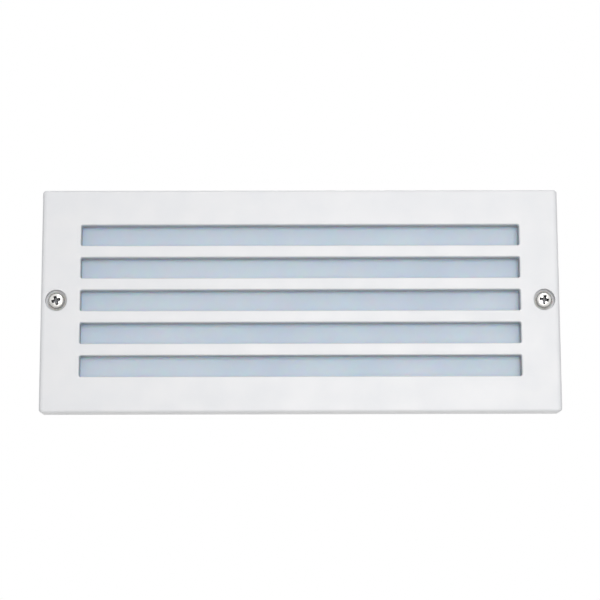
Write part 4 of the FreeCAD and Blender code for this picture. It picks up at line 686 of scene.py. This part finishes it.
# %% [markdown]
# ## The screws inside
# The same screw in smaller sizes holds the lens clips, the reflector, the bracket, the lampholder and
# the terminal block.  A group of equal screws is one frame piece, so its box gives the places: one head
# in each corner, or a single row where the box is only one head wide.

# %% Inner screws
SMALL_HEAD, SMALL_SHANK, SMALL_RECESS = (2.8, 1.7), (1.5, 6, 0.5), (3, 0.8, 1)
INNER_COLUMNS = 64
NEXT_SPIN = 0.7  # radians from one screw of a group to the next
INNER_SCREWS = (  # frame piece, facing, head, shank, recess
    ("lens_clip_screws", "back", (2.2, 1.5), (1.2, 6, 0.45), (2.6, 0.7, 0.9)),
    ("reflector_screws", "front", SMALL_HEAD, SMALL_SHANK, SMALL_RECESS),
    ("bracket_screws", "front", SMALL_HEAD, SMALL_SHANK, SMALL_RECESS),
    ("lampholder_screws", "right", SMALL_HEAD, SMALL_SHANK, SMALL_RECESS),
    ("terminal_block_screws", "front", SMALL_HEAD, (1.5, 22, 0.5), SMALL_RECESS),
    ("earth_screw", "front", M4_HEAD, (2, 9, M4_PITCH), M4_RECESS),
)


def head_places(low, high, radius):
    """One place in the middle, or one at each end where there is room for two heads."""
    if high - low < 3 * radius:
        return [(low + high) / 2]
    return [low + radius, high - radius]


for node, facing, head, shank, recess in INNER_SCREWS:
    low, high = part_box(node)
    radius = head[0] * MM
    length = shank[1] * MM
    ups = head_places(low.z, high.z, radius)
    if facing == "right":
        seats = [(low.x + length, deep, up) for deep in head_places(low.y, high.y, radius) for up in ups]
    else:
        seat_depth = high.y - length if facing == "front" else low.y + length
        seats = [(across, seat_depth, up) for across in head_places(low.x, high.x, radius) for up in ups]
    grid, punched = pan_screw(INNER_COLUMNS, head, shank, recess)
    grids = [carry(grid, facing, seat, NEXT_SPIN * number) for number, seat in enumerate(seats)]
    make_piece(node, grids, punched=punched)

# %% [markdown]
# ## The blanking plug
# The plug in the unused conduit entry is die-cast like the box, with a 20 mm conduit thread and a slot
# for a screwdriver or a coin.  The slot is straight and the grid is round, so points near the slot's
# edge are moved sideways onto it.  Otherwise the edge would look like a saw.

# %% Blanking plug
PLUG_RADIUS, PLUG_HEIGHT, PLUG_EDGE = 12.5, 3.5, 0.8  # its head, and the rounding of the head's rim
PLUG_POLE = 0.15  # radius of the first row, which a point closes
SLOT_WIDTH, SLOT_DEPTH = 2.4, 1.8
SLOT_SNAP, SLOT_WALL = 0.09, 0.01  # points this near the slot's edge move to this far from it
PLUG_THREAD_RADIUS, PLUG_THREAD_LENGTH, PLUG_PITCH = 9.42, 10.5, 1.5
PLUG_COLUMNS, PLUG_FLAT_ROWS, PLUG_RIM_ROWS, PLUG_SIDE_ROWS, PLUG_THREAD_ROWS = 480, 72, 9, 10, 90

angle = np.linspace(0, math.tau, PLUG_COLUMNS, endpoint=False)
swing = np.linspace(0, math.pi / 2, PLUG_RIM_ROWS)
radii = np.concatenate((np.linspace(PLUG_POLE, PLUG_RADIUS - PLUG_EDGE, PLUG_FLAT_ROWS),
                        PLUG_RADIUS - PLUG_EDGE * (1 - np.sin(swing)),
                        np.full(PLUG_SIDE_ROWS, PLUG_RADIUS)))[:, None]
heights = np.concatenate((np.full(PLUG_FLAT_ROWS, PLUG_HEIGHT),
                          PLUG_HEIGHT - PLUG_EDGE * (1 - np.cos(swing)),
                          np.linspace(PLUG_HEIGHT - PLUG_EDGE, 0, PLUG_SIDE_ROWS + 1)[1:]))[:, None]
x, y = radii * np.cos(angle), radii * np.sin(angle)
half = SLOT_WIDTH / 2
inside = abs(y) < half
near = abs(abs(y) - half) < SLOT_SNAP
y = np.where(near, np.sign(y) * (half + np.where(inside, -SLOT_WALL, SLOT_WALL)), y)
z = np.where(inside, np.minimum(heights + 0 * y, PLUG_HEIGHT - SLOT_DEPTH), heights + 0 * y)
height = np.linspace(0, -PLUG_THREAD_LENGTH, PLUG_THREAD_ROWS)[:, None]
around = threaded(PLUG_THREAD_RADIUS, height, angle, PLUG_PITCH, -PLUG_PITCH, -PLUG_THREAD_LENGTH)
grid = np.concatenate((np.stack((x, y, z), -1), turned(around, angle, height)))
seat = middle_of("blanking_plug")
seat.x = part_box("blanking_plug")[0].x + PLUG_HEIGHT * MM
make_piece("blanking_plug", [carry(grid, "left", seat)])

# %% [markdown]
# ## The lamp's cap and the shell it screws into
# The cap is thin nickel-plated brass, rolled between two dies into a rounded 27 mm thread, so its inside
# has the same waves as its outside.  The lampholder's shell is rolled the same way, a little larger.
# Both follow one wave of height and angle from the same starting point, so the waves stay side by side
# as the lamp turns out.

# %% Rolled threads
LAMP_PITCH = 3.629
LAMP_WAVE = 0.45  # millimetres, from the middle of the wave to its crest
SLEEVES = {"lamp_cap": (12.55, 0.35), "lampholder_thread_shell": (13.7, 0.4)}  # radius and wall
SLEEVE_COLUMNS, SLEEVE_ROWS_PER_TURN = 160, 18


def rolled_sleeve(radius, wall, start, end):
    """A thin ring with a rounded thread inside and out: radius plus a cosine of height and angle."""
    angle = np.linspace(0, math.tau, SLEEVE_COLUMNS, endpoint=False)
    height = np.linspace(start, end, int((end - start) / LAMP_PITCH * SLEEVE_ROWS_PER_TURN))[:, None]
    fade = np.clip(np.minimum(height - start, end - height) / (LAMP_PITCH / 2), 0, 1)
    wave = LAMP_WAVE * fade * np.cos(math.tau * height / LAMP_PITCH - angle)
    outside = turned(radius + wave, angle, height)
    inside = turned(radius - wall + wave, angle, height)
    return np.concatenate((outside, inside[::-1]))


tip = middle_of("lamp_tip_contact")
tip.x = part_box("lamp_tip_contact")[1].x
for node, (radius, wall) in SLEEVES.items():
    low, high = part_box(node)
    sleeve = rolled_sleeve(radius, wall, (tip.x - high.x) / MM, (tip.x - low.x) / MM)
    make_piece(node, [carry(sleeve, "left", tip)], ring=True)

# %% [markdown]
# ## The toothed washer
# The washer under the earth screw bites through any oxide.  Its rim is cut into teeth that are each
# twisted a little, which the grid gives by moving the rim in and out, and up and down, as it goes round.

# %% Toothed washer
TEETH, COLUMNS_PER_TOOTH = 16, 12
TOOTH_LENGTH, TOOTH_TWIST = 0.7, 0.18
GAP_EDGE, GAP_SLOPE = 3, 12  # the gap's mask is edge - slope x the way from its middle, kept in 0 to 1
WASHER_OUTER, WASHER_INNER, WASHER_SHEET = 4.2, 2.1, 0.4
TWIST_SHARES = (0, 0.2, 1, 1, 0.2, 0)  # how much of the twist each row takes: bore, middle, rim and back

angle = np.linspace(0, math.tau, TEETH * COLUMNS_PER_TOOTH, endpoint=False)
phase = (angle * TEETH / math.tau) % 1
gap = np.clip(GAP_EDGE - GAP_SLOPE * abs(phase - 0.5), 0, 1)
rim = WASHER_OUTER - TOOTH_LENGTH * gap
bore = WASHER_INNER + 0 * rim
halfway = 0.5 * (WASHER_INNER + rim)
radii = np.stack((bore, halfway, rim, rim, halfway, bore))
twist = TOOTH_TWIST * np.sin(math.tau * phase) * np.array(TWIST_SHARES)[:, None]
faces_up = np.array((1, 1, 1, -1, -1, -1))[:, None]
grid = turned(radii, angle, faces_up * WASHER_SHEET / 2 + twist)
make_piece("earth_washer", [carry(grid, "front", middle_of("earth_washer"))], ring=True)

# %% [markdown]
# ## The lamp's contact
# The contact at the lamp's foot is a drop of solder on a brass disc: flat where it met the disc and
# round where surface tension pulled it.

# %% Solder contact
CONTACT_RADIUS, CONTACT_HEIGHT, CONTACT_DISC = 4.8, 2, 0.7
DROP_SHARE = 0.94  # the drop's radius as a share of the disc's
DROP_POLE = 0.03  # radians from the axis to the first row, which a point closes
CONTACT_COLUMNS, DROP_ROWS = 96, 24

angle = np.linspace(0, math.tau, CONTACT_COLUMNS, endpoint=False)
swing = np.linspace(DROP_POLE, math.pi / 2, DROP_ROWS)
radii = np.concatenate((CONTACT_RADIUS * DROP_SHARE * np.sin(swing), (CONTACT_RADIUS, CONTACT_RADIUS)))
heights = np.concatenate((CONTACT_DISC + (CONTACT_HEIGHT - CONTACT_DISC) * np.cos(swing), (CONTACT_DISC, 0)))
seat = middle_of("lamp_tip_contact")
seat.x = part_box("lamp_tip_contact")[0].x
make_piece("lamp_tip_contact", [carry(turned(radii[:, None], angle, heights[:, None]), "right", seat)])
